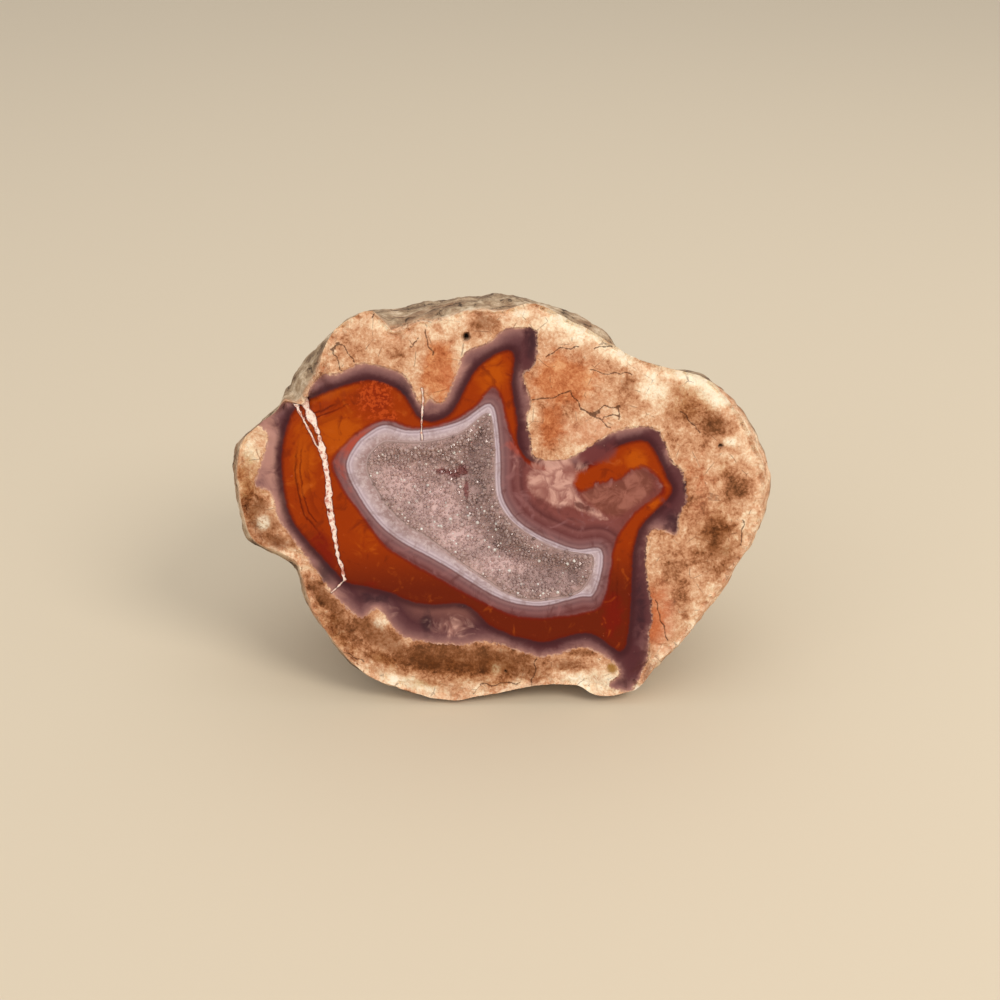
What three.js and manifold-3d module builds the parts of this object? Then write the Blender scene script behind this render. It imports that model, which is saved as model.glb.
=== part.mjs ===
// Half of an agate geode: a knobbly rhyolite nodule, sawn flat through its agate filling,
// with a hollow lined by quartz crystals. Millimetres, +Z up. The sawn face looks along -Y.
//
// The stone is first laid out lying on its back: X and Y across the sawn face, Z out of it,
// with the middle of the face at the origin. At the end it is stood up on its underside.
import * as THREE from 'three';
import { mergeVertices } from 'three/addons/utils/BufferGeometryUtils.js';
import Module from 'manifold-3d';

const wasm = await Module();
wasm.setup();

// Driving dimensions
const faceLean = 15; // degrees that the sawn face leans back from upright
const faceHeight = 42; // middle of the face above the surface that the stone rests on
const stoneDepth = 50; // sawn face to the back of the nodule
const widestDepth = 12; // how far behind the face the nodule is widest
const domePower = 2.35; // roundness of the back, 2 being an ellipse
const domeHalfWidth = 52; // towards the back the outline eases to an oval of these half sizes
const domeHalfHeight = 37.5;
const knobCount = 84; // knobs and dents on the rind
const knobsFrom = 5; // the knobs start this deep behind the face, and have grown in full
const knobsGrown = 20; // this deep behind it
const hollowDepth = 5.5; // face to the deepest part of the hollow
const hollowReach = 11; // from the rim of the hollow in to where its floor levels out
const hollowPower = 2.2; // how steeply the hollow's wall falls at the rim
const crustGap = 0.35; // crust to the stone behind it
const crustThickness = 1.3;
const crustBelowFace = 0.15; // the crust was sawn off just under the face
const crystalTries = 1500; // places tried for a crystal
const crystalSpacing = 1.75; // nearest that two crystals stand
const crystalSink = 0.5; // root of a crystal in the crust

// How finely the solids are faceted
const edgeSteps = 92;
const rimSteps = 4;
const domeSteps = 13;
const hollowSteps = 44;

// Edge of the sawn face, counterclockwise as seen from the front, starting on the right.
const faceEdge = [
  [52.2, 4.9], [48.3, 15.0], [44.7, 20.1], [40.3, 24.3], [37.9, 25.5], [31.6, 26.7], [24.8, 29.2],
  [12.6, 36.4], [6.8, 39.1], [4.5, 39.3], [-0.6, 37.9], [-6.8, 37.8], [-13.8, 35.6], [-16.5, 35.4],
  [-20.9, 33.5], [-22.4, 34.1], [-24.7, 37.4], [-26.6, 37.6], [-31.1, 35.6], [-34.8, 31.7],
  [-36.7, 24.7], [-38.1, 23.1], [-39.6, 19.6], [-41.0, 19.5], [-42.8, 20.2], [-45.0, 18.0],
  [-50.5, 13.8], [-51.9, 11.6], [-53.0, 4.5], [-51.1, -7.0], [-49.9, -8.6], [-43.2, -11.8],
  [-41.8, -13.4], [-39.4, -21.4], [-36.1, -27.3], [-31.2, -34.4], [-26.1, -37.8], [-23.1, -39.1],
  [-11.3, -42.4], [6.2, -39.4], [13.0, -39.1], [15.9, -39.6], [19.4, -41.5], [25.3, -40.7],
  [27.8, -39.6], [31.8, -34.4], [36.6, -29.5], [47.8, -12.4], [51.6, -4.1],
];

// Outline of the nodule where it is widest, seen from the front.
const widestEdge = [
  [55.3, 1.5], [55.2, 4.0], [51.3, 13.1], [48.1, 18.2], [43.3, 22.4], [40.6, 24.0], [31.9, 24.8],
  [25.4, 27.0], [17.4, 33.2], [5.5, 39.0], [-0.6, 39.8], [-7.5, 39.3], [-20.3, 36.6], [-26.0, 36.8],
  [-30.8, 35.4], [-32.8, 34.0], [-42.2, 24.2], [-43.2, 22.0], [-44.4, 21.2], [-45.6, 17.8],
  [-53.4, 11.6], [-54.6, 9.8], [-55.4, 2.1], [-53.6, -8.6], [-52.0, -10.8], [-45.0, -14.2],
  [-43.6, -15.4], [-41.0, -23.0], [-34.4, -34.0], [-27.0, -39.6], [-11.5, -43.6], [6.0, -40.8],
  [15.6, -41.0], [19.4, -42.8], [26.1, -42.2], [28.7, -41.0], [38.0, -30.9], [47.9, -17.0],
  [53.0, -7.7], [54.4, -4.0],
];

// Rim of the hollow in the agate.
const hollowEdge = [
  [18.2, -11.5], [13.1, -10.7], [7.6, -8.4], [3.0, -5.3], [1.0, -3.3], [-0.6, -0.8], [-1.4, 2.0],
  [-1.6, 11.8], [-2.8, 17.6], [-8.1, 14.0], [-10.7, 13.0], [-16.5, 12.0], [-22.0, 12.2],
  [-24.0, 12.0], [-26.8, 9.3], [-27.4, 7.5], [-27.3, 5.5], [-23.0, -2.0], [-19.9, -5.1],
  [-15.3, -8.0], [-0.4, -18.9], [2.2, -20.1], [5.1, -21.0], [8.1, -21.0], [16.2, -18.7],
];
const hollowMiddle = [-6.0, -9.5]; // from here the whole rim of the hollow is in sight

const degrees = Math.PI / 180;
const fullTurn = 2 * Math.PI;

// Park and Miller's generator, so that every build gives the same stone.
function seededRandom(seed) {
  let state = seed;
  return () => {
    state = (state * 16807) % 2147483647;
    return state / 2147483647;
  };
}

// A smooth closed curve through the points, as many short straight steps.
function smoothLoop(points) {
  const curve = new THREE.CatmullRomCurve3(points.map(([x, y]) => new THREE.Vector3(x, y, 0)), true);
  return curve.getPoints(points.length * 8).slice(0, -1).map((p) => [p.x, p.y]);
}

// Distance from a middle point to a closed outline, in the direction of an angle.
function radiusReader(outline, [middleX, middleY]) {
  const samples = outline
    .map(([x, y]) => {
      const angle = Math.atan2(y - middleY, x - middleX);
      return { angle: (angle + fullTurn) % fullTurn, radius: Math.hypot(x - middleX, y - middleY) };
    })
    .sort((a, b) => a.angle - b.angle);
  const first = samples[0];
  const last = samples[samples.length - 1];
  samples.unshift({ angle: last.angle - fullTurn, radius: last.radius });
  samples.push({ angle: first.angle + fullTurn, radius: first.radius });
  return (angle) => {
    const next = samples.findIndex((sample) => sample.angle > angle);
    const before = samples[next - 1];
    const after = samples[next];
    const share = (angle - before.angle) / (after.angle - before.angle);
    return before.radius + share * (after.radius - before.radius);
  };
}

// Shortest distance from a point to a closed outline.
function distanceToOutline(outline, x, y) {
  let nearest = Infinity;
  outline.forEach(([startX, startY], i) => {
    const [endX, endY] = outline[(i + 1) % outline.length];
    const runX = endX - startX;
    const runY = endY - startY;
    const along = ((x - startX) * runX + (y - startY) * runY) / (runX * runX + runY * runY);
    const share = Math.min(1, Math.max(0, along));
    nearest = Math.min(nearest, Math.hypot(x - startX - share * runX, y - startY - share * runY));
  });
  return nearest;
}

// A closed solid from a three.js geometry.
function solidFrom(geometry) {
  const bare = geometry.clone();
  bare.deleteAttribute('normal');
  bare.deleteAttribute('uv');
  const merged = mergeVertices(bare, 1e-5);
  return new wasm.Manifold(new wasm.Mesh({
    numProp: 3,
    vertProperties: new Float32Array(merged.attributes.position.array),
    triVerts: new Uint32Array(merged.index.array),
  }));
}

// A three.js geometry from a solid.
function geometryFrom(solid) {
  const mesh = solid.getMesh();
  const geometry = new THREE.BufferGeometry();
  geometry.setAttribute('position', new THREE.BufferAttribute(new Float32Array(mesh.vertProperties), 3));
  geometry.setIndex(new THREE.BufferAttribute(new Uint32Array(mesh.triVerts), 1));
  return geometry;
}

// A geometry from rings of points, each closed, with a cap point before the first ring and
// after the last.
function skinFromRings(startPoint, rings, endPoint) {
  const steps = rings[0].length;
  const points = [startPoint, ...rings.flat(), endPoint];
  const endIndex = points.length - 1;
  const triangles = [];
  for (let i = 0; i < steps; i += 1) {
    const next = (i + 1) % steps;
    triangles.push(0, 1 + i, 1 + next);
    for (let ring = 0; ring < rings.length - 1; ring += 1) {
      const near = 1 + ring * steps;
      const far = near + steps;
      triangles.push(near + i, far + i, far + next);
      triangles.push(near + i, far + next, near + next);
    }
    const lastRing = 1 + (rings.length - 1) * steps;
    triangles.push(lastRing + next, lastRing + i, endIndex);
  }
  const geometry = new THREE.BufferGeometry();
  geometry.setAttribute('position', new THREE.Float32BufferAttribute(points.flat(), 3));
  geometry.setIndex(triangles);
  return geometry;
}

// Where the rind passes at an angle around the face. The run goes from 0 at the edge of the
// face to 1 where the nodule is widest and 2 at the middle of its back.
const faceRadius = radiusReader(smoothLoop(faceEdge), [0, 0]);
const widestRadius = radiusReader(smoothLoop(widestEdge), [0, 0]);

function rindPoint(angle, run) {
  const edge = faceRadius(angle);
  const widest = widestRadius(angle);
  let radius;
  let back;
  if (run <= 1) {
    radius = edge + (widest - edge) * (1 - (1 - run) ** 3);
    back = widestDepth * run;
  } else {
    const turn = (run - 1) * Math.PI / 2;
    const oval = 1 / Math.hypot(Math.cos(angle) / domeHalfWidth, Math.sin(angle) / domeHalfHeight);
    const eased = THREE.MathUtils.lerp(widest, oval, THREE.MathUtils.smoothstep(run, 1, 1.7));
    radius = eased * Math.cos(turn) ** (2 / domePower);
    back = widestDepth + (stoneDepth - widestDepth) * Math.sin(turn) ** (2 / domePower);
  }
  return new THREE.Vector3(radius * Math.cos(angle), radius * Math.sin(angle), -back);
}

// Knobs and dents of the rind. They stand all round at a golden angle, from the rim to the back.
const random = seededRandom(7);
const goldenAngle = 137.508 * degrees;
const knobs = [];
for (let i = 0; i < knobCount; i += 1) {
  const angle = (i * goldenAngle) % fullTurn;
  const run = 0.35 + 1.6 * Math.sqrt((i + 0.5) / knobCount) - 0.3 * random();
  const spread = 2.6 + 2.2 * random();
  const isDent = random() < 0.3;
  const height = (0.4 + 0.3 * random()) * spread * (isDent ? -0.7 : 1);
  knobs.push({ place: rindPoint(angle, run), spread, height });
}
const rindMiddle = new THREE.Vector3(0, 0, -widestDepth);

function knobbedPoint(angle, run) {
  const point = rindPoint(angle, run);
  const grown = THREE.MathUtils.smoothstep(-point.z, knobsFrom, knobsGrown);
  let rise = 0;
  knobs.forEach(({ place, spread, height }) => {
    rise += height * Math.exp(-point.distanceToSquared(place) / (2 * spread * spread));
  });
  const outward = point.clone().sub(rindMiddle).normalize();
  return point.addScaledVector(outward, rise * grown).toArray();
}

function noduleSolid() {
  const runs = [];
  for (let i = 0; i < rimSteps; i += 1) {
    runs.push((i / rimSteps) ** 1.3);
  }
  for (let i = 0; i < domeSteps; i += 1) {
    runs.push(1 + i / domeSteps);
  }
  const rings = runs.map((run) => Array.from(
    { length: edgeSteps },
    (_, i) => knobbedPoint(i / edgeSteps * fullTurn, run),
  ));
  return solidFrom(skinFromRings([0, 0, 0], rings, knobbedPoint(0, 2)));
}

// The hollow: its floor falls from the rim and levels out inside.
const hollowRim = smoothLoop(hollowEdge);
const hollowRadius = radiusReader(hollowRim, hollowMiddle);

function hollowFloor(x, y) {
  const inward = Math.min(distanceToOutline(hollowRim, x, y), hollowReach) / hollowReach;
  return -hollowDepth * (1 - (1 - inward) ** hollowPower);
}

// A solid over the plan of the hollow, between two surfaces given as heights.
const hollowShares = [0.98, 0.93, 0.86, 0.77, 0.66, 0.53, 0.38, 0.2];

function hollowLayer(lowerHeight, upperHeight) {
  const ringAt = (share, height) => Array.from({ length: hollowSteps }, (_, i) => {
    const angle = i / hollowSteps * fullTurn;
    const radius = share * hollowRadius(angle);
    const x = hollowMiddle[0] + radius * Math.cos(angle);
    const y = hollowMiddle[1] + radius * Math.sin(angle);
    return [x, y, height(x, y)];
  });
  const outward = [...hollowShares].reverse();
  const rings = [
    ...outward.map((share) => ringAt(share, upperHeight)),
    ringAt(1, (x, y) => Math.max(0, upperHeight(x, y))),
    ringAt(1, (x, y) => lowerHeight(x, y)),
    ...hollowShares.map((share) => ringAt(share, lowerHeight)),
  ];
  const topMiddle = [...hollowMiddle, upperHeight(...hollowMiddle)];
  const lowMiddle = [...hollowMiddle, lowerHeight(...hollowMiddle)];
  return solidFrom(skinFromRings(topMiddle, rings, lowMiddle));
}

// Pointed quartz crystals on the crust, with six flat sides each, none crowding another.
function crystalSolids() {
  const chance = seededRandom(23);
  const placed = [];
  const crystals = [];
  for (let i = 0; i < crystalTries; i += 1) {
    const angle = chance() * fullTurn;
    const radius = Math.sqrt(chance()) * hollowRadius(angle);
    const size = 0.9 + 0.8 * chance() ** 2;
    const twist = chance() * Math.PI / 3;
    const leanX = 0.5 * (chance() - 0.5);
    const leanY = 0.5 * (chance() - 0.5);
    const x = hollowMiddle[0] + radius * Math.cos(angle);
    const y = hollowMiddle[1] + radius * Math.sin(angle);
    const rimDistance = distanceToOutline(hollowRim, x, y);
    const crowded = placed.some(([px, py]) => Math.hypot(x - px, y - py) < crystalSpacing);
    if (crowded || rimDistance < 1.2) {
      continue;
    }
    placed.push([x, y]);
    const slopeX = (hollowFloor(x + 0.2, y) - hollowFloor(x - 0.2, y)) / 0.4;
    const slopeY = (hollowFloor(x, y + 0.2) - hollowFloor(x, y - 0.2)) / 0.4;
    const axis = new THREE.Vector3(leanX - slopeX, leanY - slopeY, 1).normalize();
    const height = size * 1.7;
    const crystal = new THREE.ConeGeometry(size, height, 6);
    crystal.rotateY(twist);
    crystal.translate(0, height / 2 - crystalSink, 0);
    crystal.applyQuaternion(new THREE.Quaternion().setFromUnitVectors(new THREE.Vector3(0, 1, 0), axis));
    crystal.translate(x, y, hollowFloor(x, y) + crustGap + crustThickness);
    crystals.push(solidFrom(crystal));
  }
  return crystals;
}

function druseSolid() {
  let crust = hollowLayer(
    (x, y) => hollowFloor(x, y) + crustGap,
    (x, y) => hollowFloor(x, y) + crustGap + crustThickness,
  );
  crystalSolids().forEach((crystal) => {
    crust = crust.add(crystal);
  });
  const sawnAway = new THREE.BoxGeometry(200, 200, 20);
  sawnAway.translate(0, 0, 10 - crustBelowFace);
  const roomForCrust = hollowLayer((x, y) => hollowFloor(x, y) + crustGap, () => 5);
  return crust.intersect(roomForCrust).subtract(solidFrom(sawnAway));
}

// Stands a geometry up from its back, so that the sawn face looks along -Y and leans back.
function standUp(geometry) {
  geometry.rotateX((90 - faceLean) * degrees);
  geometry.translate(0, 0, faceHeight);
  return geometry;
}

function stoneSolid() {
  const hollowCut = hollowLayer(hollowFloor, () => 5);
  const lying = noduleSolid().subtract(hollowCut);
  const standing = solidFrom(standUp(geometryFrom(lying)));
  const ground = new THREE.BoxGeometry(400, 400, 100);
  ground.translate(0, 0, -50);
  return standing.subtract(solidFrom(ground));
}

function pieceMesh(name, geometry, look) {
  const mesh = new THREE.Mesh(geometry, new THREE.MeshStandardMaterial(look));
  mesh.name = name;
  return mesh;
}

const stoneGeometry = geometryFrom(stoneSolid());
const druseGeometry = standUp(geometryFrom(druseSolid()));

const geode = new THREE.Group();
geode.add(pieceMesh('geode_stone', stoneGeometry, { color: 0xb87a58, roughness: 0.45, metalness: 0 }));
geode.add(pieceMesh('quartz_druse', druseGeometry, { color: 0x9a8688, roughness: 0.3, metalness: 0 }));

// The origin is the middle of the box around the stone, at the surface that it rests on.
stoneGeometry.computeBoundingBox();
const middle = stoneGeometry.boundingBox.getCenter(new THREE.Vector3());
geode.position.set(-middle.x, -middle.y, 0);

export default geode;
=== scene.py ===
import math

import bpy
import numpy as np
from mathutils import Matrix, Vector, noise
from mathutils.geometry import delaunay_2d_cdt


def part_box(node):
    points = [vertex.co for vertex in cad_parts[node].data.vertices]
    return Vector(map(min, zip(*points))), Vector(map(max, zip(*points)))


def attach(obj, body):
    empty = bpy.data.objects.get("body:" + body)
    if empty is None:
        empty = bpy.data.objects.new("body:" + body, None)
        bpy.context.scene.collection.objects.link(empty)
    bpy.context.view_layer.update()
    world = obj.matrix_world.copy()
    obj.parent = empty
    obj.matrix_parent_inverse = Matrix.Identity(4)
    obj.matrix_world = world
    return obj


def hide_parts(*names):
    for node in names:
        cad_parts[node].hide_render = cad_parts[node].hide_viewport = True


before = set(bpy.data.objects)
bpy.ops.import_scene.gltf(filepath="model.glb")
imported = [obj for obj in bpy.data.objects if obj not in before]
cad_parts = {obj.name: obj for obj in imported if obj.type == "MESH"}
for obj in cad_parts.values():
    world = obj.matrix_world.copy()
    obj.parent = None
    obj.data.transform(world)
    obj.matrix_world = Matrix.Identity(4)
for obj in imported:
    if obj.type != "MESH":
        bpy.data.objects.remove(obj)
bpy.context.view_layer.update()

mm = 0.001

# The stone. Millimetres on the sawn face: across, up the face, out of it.
stone = {
    "faceLean": 15,             # degrees that the sawn face leans back
    "faceMiddle": (0.6, -20.5, 42.0),
    "depth": 50,
    "widestDepth": 12,
    "domePower": 2.35,
    "domeHalfWidth": 52,
    "domeHalfHeight": 37.5,
    "knobCount": 84,
    "knobsFrom": 5,
    "knobsGrown": 20,
    "aroundSteps": 560,
    "rimSteps": 26,
    "domeSteps": 62,
    "faceGrain": 0.5,           # spacing of the face's mesh points
    "grainAcross": (-54, 54),
    "grainUp": (-44, 41),
    "grainJitter": 0.22,
    "reliefDepth": 1.1,
    "chipReach": 2.2,           # how far in from the edge of the face chips go
    "crumbleReach": 2.6,        # and how much further on the left and below
    "chipDepth": 1.3,
    # edge of the sawn face
    "faceEdge": [
        (52.2, 4.9), (48.3, 15.0), (44.7, 20.1), (40.3, 24.3), (37.9, 25.5), (31.6, 26.7),
        (24.8, 29.2), (12.6, 36.4), (6.8, 39.1), (4.5, 39.3), (-0.6, 37.9), (-6.8, 37.8),
        (-13.8, 35.6), (-16.5, 35.4), (-20.9, 33.5), (-22.4, 34.1), (-24.7, 37.4), (-26.6, 37.6),
        (-31.1, 35.6), (-34.8, 31.7), (-36.7, 24.7), (-38.1, 23.1), (-39.6, 19.6), (-41.0, 19.5),
        (-42.8, 20.2), (-45.0, 18.0), (-50.5, 13.8), (-51.9, 11.6), (-53.0, 4.5), (-51.1, -7.0),
        (-49.9, -8.6), (-43.2, -11.8), (-41.8, -13.4), (-39.4, -21.4), (-36.1, -27.3),
        (-31.2, -34.4), (-26.1, -37.8), (-23.1, -39.1), (-11.3, -42.4), (6.2, -39.4),
        (13.0, -39.1), (15.9, -39.6), (19.4, -41.5), (25.3, -40.7), (27.8, -39.6), (31.8, -34.4),
        (36.6, -29.5), (47.8, -12.4), (51.6, -4.1),
    ],
    # outline of the nodule where it is widest
    "widestEdge": [
        (55.3, 1.5), (55.2, 4.0), (51.3, 13.1), (48.1, 18.2), (43.3, 22.4), (40.6, 24.0),
        (31.9, 24.8), (25.4, 27.0), (17.4, 33.2), (5.5, 39.0), (-0.6, 39.8), (-7.5, 39.3),
        (-20.3, 36.6), (-26.0, 36.8), (-30.8, 35.4), (-32.8, 34.0), (-42.2, 24.2), (-43.2, 22.0),
        (-44.4, 21.2), (-45.6, 17.8), (-53.4, 11.6), (-54.6, 9.8), (-55.4, 2.1), (-53.6, -8.6),
        (-52.0, -10.8), (-45.0, -14.2), (-43.6, -15.4), (-41.0, -23.0), (-34.4, -34.0),
        (-27.0, -39.6), (-11.5, -43.6), (6.0, -40.8), (15.6, -41.0), (19.4, -42.8), (26.1, -42.2),
        (28.7, -41.0), (38.0, -30.9), (47.9, -17.0), (53.0, -7.7), (54.4, -4.0),
    ],
}

# The hollow in the agate and the crust of crystals in it.
hollow = {
    "middle": (-6.0, -9.5),
    "depth": 5.5,
    "reach": 11,                # from the rim in to where the floor levels out
    "power": 2.2,
    "aroundSteps": 260,
    "ringShares": 30,
    "edge": [
        (18.2, -11.5), (13.1, -10.7), (7.6, -8.4), (3.0, -5.3), (1.0, -3.3), (-0.6, -0.8),
        (-1.4, 2.0), (-1.6, 11.8), (-2.8, 17.6), (-8.1, 14.0), (-10.7, 13.0), (-16.5, 12.0),
        (-22.0, 12.2), (-24.0, 12.0), (-26.8, 9.3), (-27.4, 7.5), (-27.3, 5.5), (-23.0, -2.0),
        (-19.9, -5.1), (-15.3, -8.0), (-0.4, -18.9), (2.2, -20.1), (5.1, -21.0), (8.1, -21.0),
        (16.2, -18.7),
    ],
}

# Outlines between the bands of the agate on the sawn face.
bands = {
    "agateIn": [
        (-49.2, 15.4), (-47.7, 14.6), (-46.6, 12.8), (-48.2, 7.5), (-49.5, 2.7), (-46.7, 1.8),
        (-45.1, -3.7), (-40.0, -11.5), (-33.9, -20.1), (-28.7, -24.8), (-26.2, -22.7),
        (-24.8, -23.1), (-23.0, -26.1), (-20.4, -28.6), (-9.8, -30.3), (-1.8, -29.9),
        (3.5, -31.8), (8.8, -32.9), (15.8, -31.0), (18.0, -31.4), (23.4, -34.8), (24.0, -36.6),
        (21.6, -39.1), (23.7, -40.2), (26.2, -40.4), (27.4, -39.1), (29.9, -33.5), (30.0, -26.9),
        (30.6, -25.0), (29.4, -17.0), (28.8, -9.7), (29.7, -6.4), (31.1, -6.0), (35.0, -7.2),
        (35.3, -3.7), (36.8, -0.2), (36.7, 1.8), (36.0, 5.7), (33.6, 7.9), (32.2, 11.5),
        (30.3, 14.4), (22.6, 14.2), (12.5, 8.3), (7.6, 8.3), (6.0, 9.1), (5.4, 12.5), (4.7, 16.4),
        (5.5, 19.7), (4.1, 25.5), (5.5, 26.1), (6.3, 27.8), (6.8, 31.9), (6.4, 33.9), (0.2, 33.9),
        (-3.1, 31.3), (-7.2, 29.6), (-9.5, 25.0), (-11.6, 19.9), (-13.2, 19.7), (-14.4, 20.7),
        (-16.0, 19.1), (-18.7, 24.3), (-20.0, 25.5), (-26.8, 27.4), (-28.6, 27.2), (-32.8, 25.3),
        (-34.9, 25.3), (-36.7, 24.3), (-38.1, 22.7), (-39.4, 19.5), (-41.6, 19.8), (-43.8, 19.6),
        (-46.0, 17.6),
    ],
    "carnelianIn": [
        (-40.0, 19.3), (-31.1, 23.1), (-26.7, 24.1), (-24.4, 23.9), (-20.1, 21.9), (-16.8, 17.0),
        (-15.4, 16.2), (-13.6, 16.0), (-11.7, 16.6), (-10.1, 17.8), (-4.9, 26.8), (0.2, 30.0),
        (1.6, 30.0), (2.3, 28.4), (1.8, 23.3), (3.0, 15.0), (2.8, 13.0), (3.4, 10.5), (4.8, 8.5),
        (7.0, 7.5), (13.7, 6.1), (15.7, 6.5), (22.4, 10.7), (27.2, 12.2), (29.2, 11.4),
        (32.9, 4.5), (33.9, 2.4), (33.4, 0.8), (27.7, -5.7), (26.8, -8.6), (26.2, -12.0),
        (26.0, -23.3), (25.0, -31.0), (23.8, -31.8), (19.8, -28.8), (16.9, -27.8), (8.6, -29.7),
        (5.5, -29.3), (2.2, -28.4), (-2.9, -26.1), (-6.5, -22.5), (-9.1, -21.6), (-15.2, -21.8),
        (-18.3, -21.2), (-23.9, -18.9), (-31.6, -17.0), (-33.4, -15.5), (-41.0, -6.4),
        (-42.5, -3.9), (-43.4, -1.0), (-44.2, 5.7), (-43.6, 12.2), (-41.6, 17.6),
    ],
    "maroonIn": [
        (-34.2, 7.3), (-31.3, 11.4), (-27.5, 14.6), (-23.1, 16.2), (-18.0, 14.8), (-14.4, 15.0),
        (-11.3, 15.8), (-6.1, 18.5), (-2.9, 22.3), (-1.8, 22.9), (-0.6, 21.5), (2.6, 11.0),
        (6.6, 6.5), (11.7, 6.1), (13.7, 4.9), (14.2, 2.7), (15.8, 2.0), (19.3, 3.9), (21.5, 4.1),
        (26.3, 6.5), (28.3, 6.7), (32.1, 2.4), (26.5, -2.9), (23.5, -7.2), (22.6, -9.9),
        (20.9, -20.3), (19.7, -22.5), (14.0, -24.1), (7.5, -24.8), (3.9, -24.6), (0.4, -23.7),
        (-21.6, -11.3), (-24.0, -9.5), (-27.5, -4.5),
    ],
    "paleIn": [
        (-23.5, 15.2), (-27.1, 13.4), (-28.7, 12.0), (-31.0, 8.3), (-31.2, 6.5), (-29.6, 2.2),
        (-23.7, -6.2), (-12.0, -13.4), (-0.4, -20.6), (5.5, -22.0), (8.5, -22.0), (16.2, -20.1),
        (18.3, -19.9), (19.9, -10.1), (14.9, -10.1), (9.5, -8.2), (4.6, -5.5), (2.4, -3.5),
        (0.8, -1.2), (-0.2, 1.4), (-0.6, 11.0), (-2.4, 19.5), (-8.1, 16.2), (-13.5, 14.6),
        (-19.2, 14.2),
    ],
    "pinkIn": [
        (4.8, 4.5), (6.0, 6.1), (8.4, 6.1), (12.5, 7.7), (14.1, 6.9), (14.9, 5.3), (14.2, 2.9),
        (14.8, 1.2), (16.6, -0.8), (19.4, -2.5), (20.9, -3.9), (18.6, -3.5), (13.6, -1.2),
        (10.6, -1.4), (8.0, -0.2), (6.0, 1.4),
    ],
    "lobeIn": [
        (15.4, 1.2), (17.4, 2.7), (22.9, 4.1), (25.3, 5.7), (27.5, 6.5), (29.3, 5.1),
        (30.1, 3.1), (29.0, 0.6), (26.6, -1.4), (22.1, -3.7), (16.2, -0.2),
    ],
}

# Veins of pale quartz and the cracks, each a line of points on the sawn face.
seams = {
    "wanderSeed": 3,
    # half widths at both ends
    "veinWidths": [(0.68, 0.46), (0.3, 0.1), (0.2, 0.08), (0.14, 0.2), (0.14, 0.12)],
    "veins": [
        [(-39.6, 20.2), (-38.0, 17.2), (-36.4, 13.4), (-35.4, 8.0), (-34.8, 2.0), (-34.3, -4.1),
         (-33.3, -11.5), (-32.0, -16.4)],
        [(-42.1, 20.5), (-40.6, 18.5), (-38.2, 13.6), (-37.0, 11.0)],
        [(-35.5, 0.4), (-34.8, -4.9)],
        [(-16.0, 22.4), (-15.9, 20.1), (-16.0, 16.0), (-16.1, 10.0)],
        [(-32.0, -16.4), (-33.4, -18.0), (-34.9, -19.3)],
    ],
    "cracks": [
        [(-15.2, 33.9), (-14.8, 32.3), (-14.5, 30.6), (-13.7, 29.0)],
        [(-32.2, 31.5), (-30.9, 30.6), (-29.9, 28.6), (-29.2, 27.6)],
        [(-33.8, 30.2), (-32.2, 31.5)],
        [(-32.6, 31.2), (-33.1, 29.6), (-32.5, 28.6)],
        [(-32.5, 28.0), (-31.6, 25.9)],
        [(-18.2, 30.6), (-16.6, 32.3)],
        [(-25.5, 36.2), (-24.7, 37.2)],
        [(8.4, 28.6), (11.1, 29.8), (14.7, 30.6)],
        [(17.8, 30.2), (21.3, 30.6)],
        [(5.5, 19.9), (10.4, 21.1), (13.2, 21.9), (13.8, 20.5), (16.2, 18.0), (17.6, 17.4),
         (19.1, 17.6)],
        [(15.2, 18.5), (19.2, 16.2), (21.2, 14.6)],
        [(17.1, 26.1), (23.3, 25.3), (25.3, 25.1)],
        [(17.2, 17.6), (19.1, 18.4), (23.1, 18.9)],
        [(19.9, 16.8), (23.1, 16.8)],
        [(22.7, 19.1), (22.9, 16.2)],
        [(34.9, 17.8), (36.6, 16.2), (39.0, 13.6)],
        [(48.1, -4.1), (48.1, -7.2), (47.9, -9.3)],
        [(7.0, -33.1), (6.4, -35.7), (5.8, -40.0)],
        [(-35.0, -31.4), (-32.4, -32.0), (-28.7, -34.0)],
        [(26.8, 29.6), (30.8, 26.8)],
        [(30.9, -20.8), (33.7, -29.3)],
        [(-4.7, -39.1), (3.5, -38.7)],
        [(-34.6, 0.0), (-33.6, -7.0), (-32.6, -12.0), (-31.9, -16.1)],
    ],
    "pits": [(-7.2, 32.6, 0.75, 1.6), (43.2, 11.0, 0.5, 0.9), (0.5, -36.0, 0.35, 0.6)],
}

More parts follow.
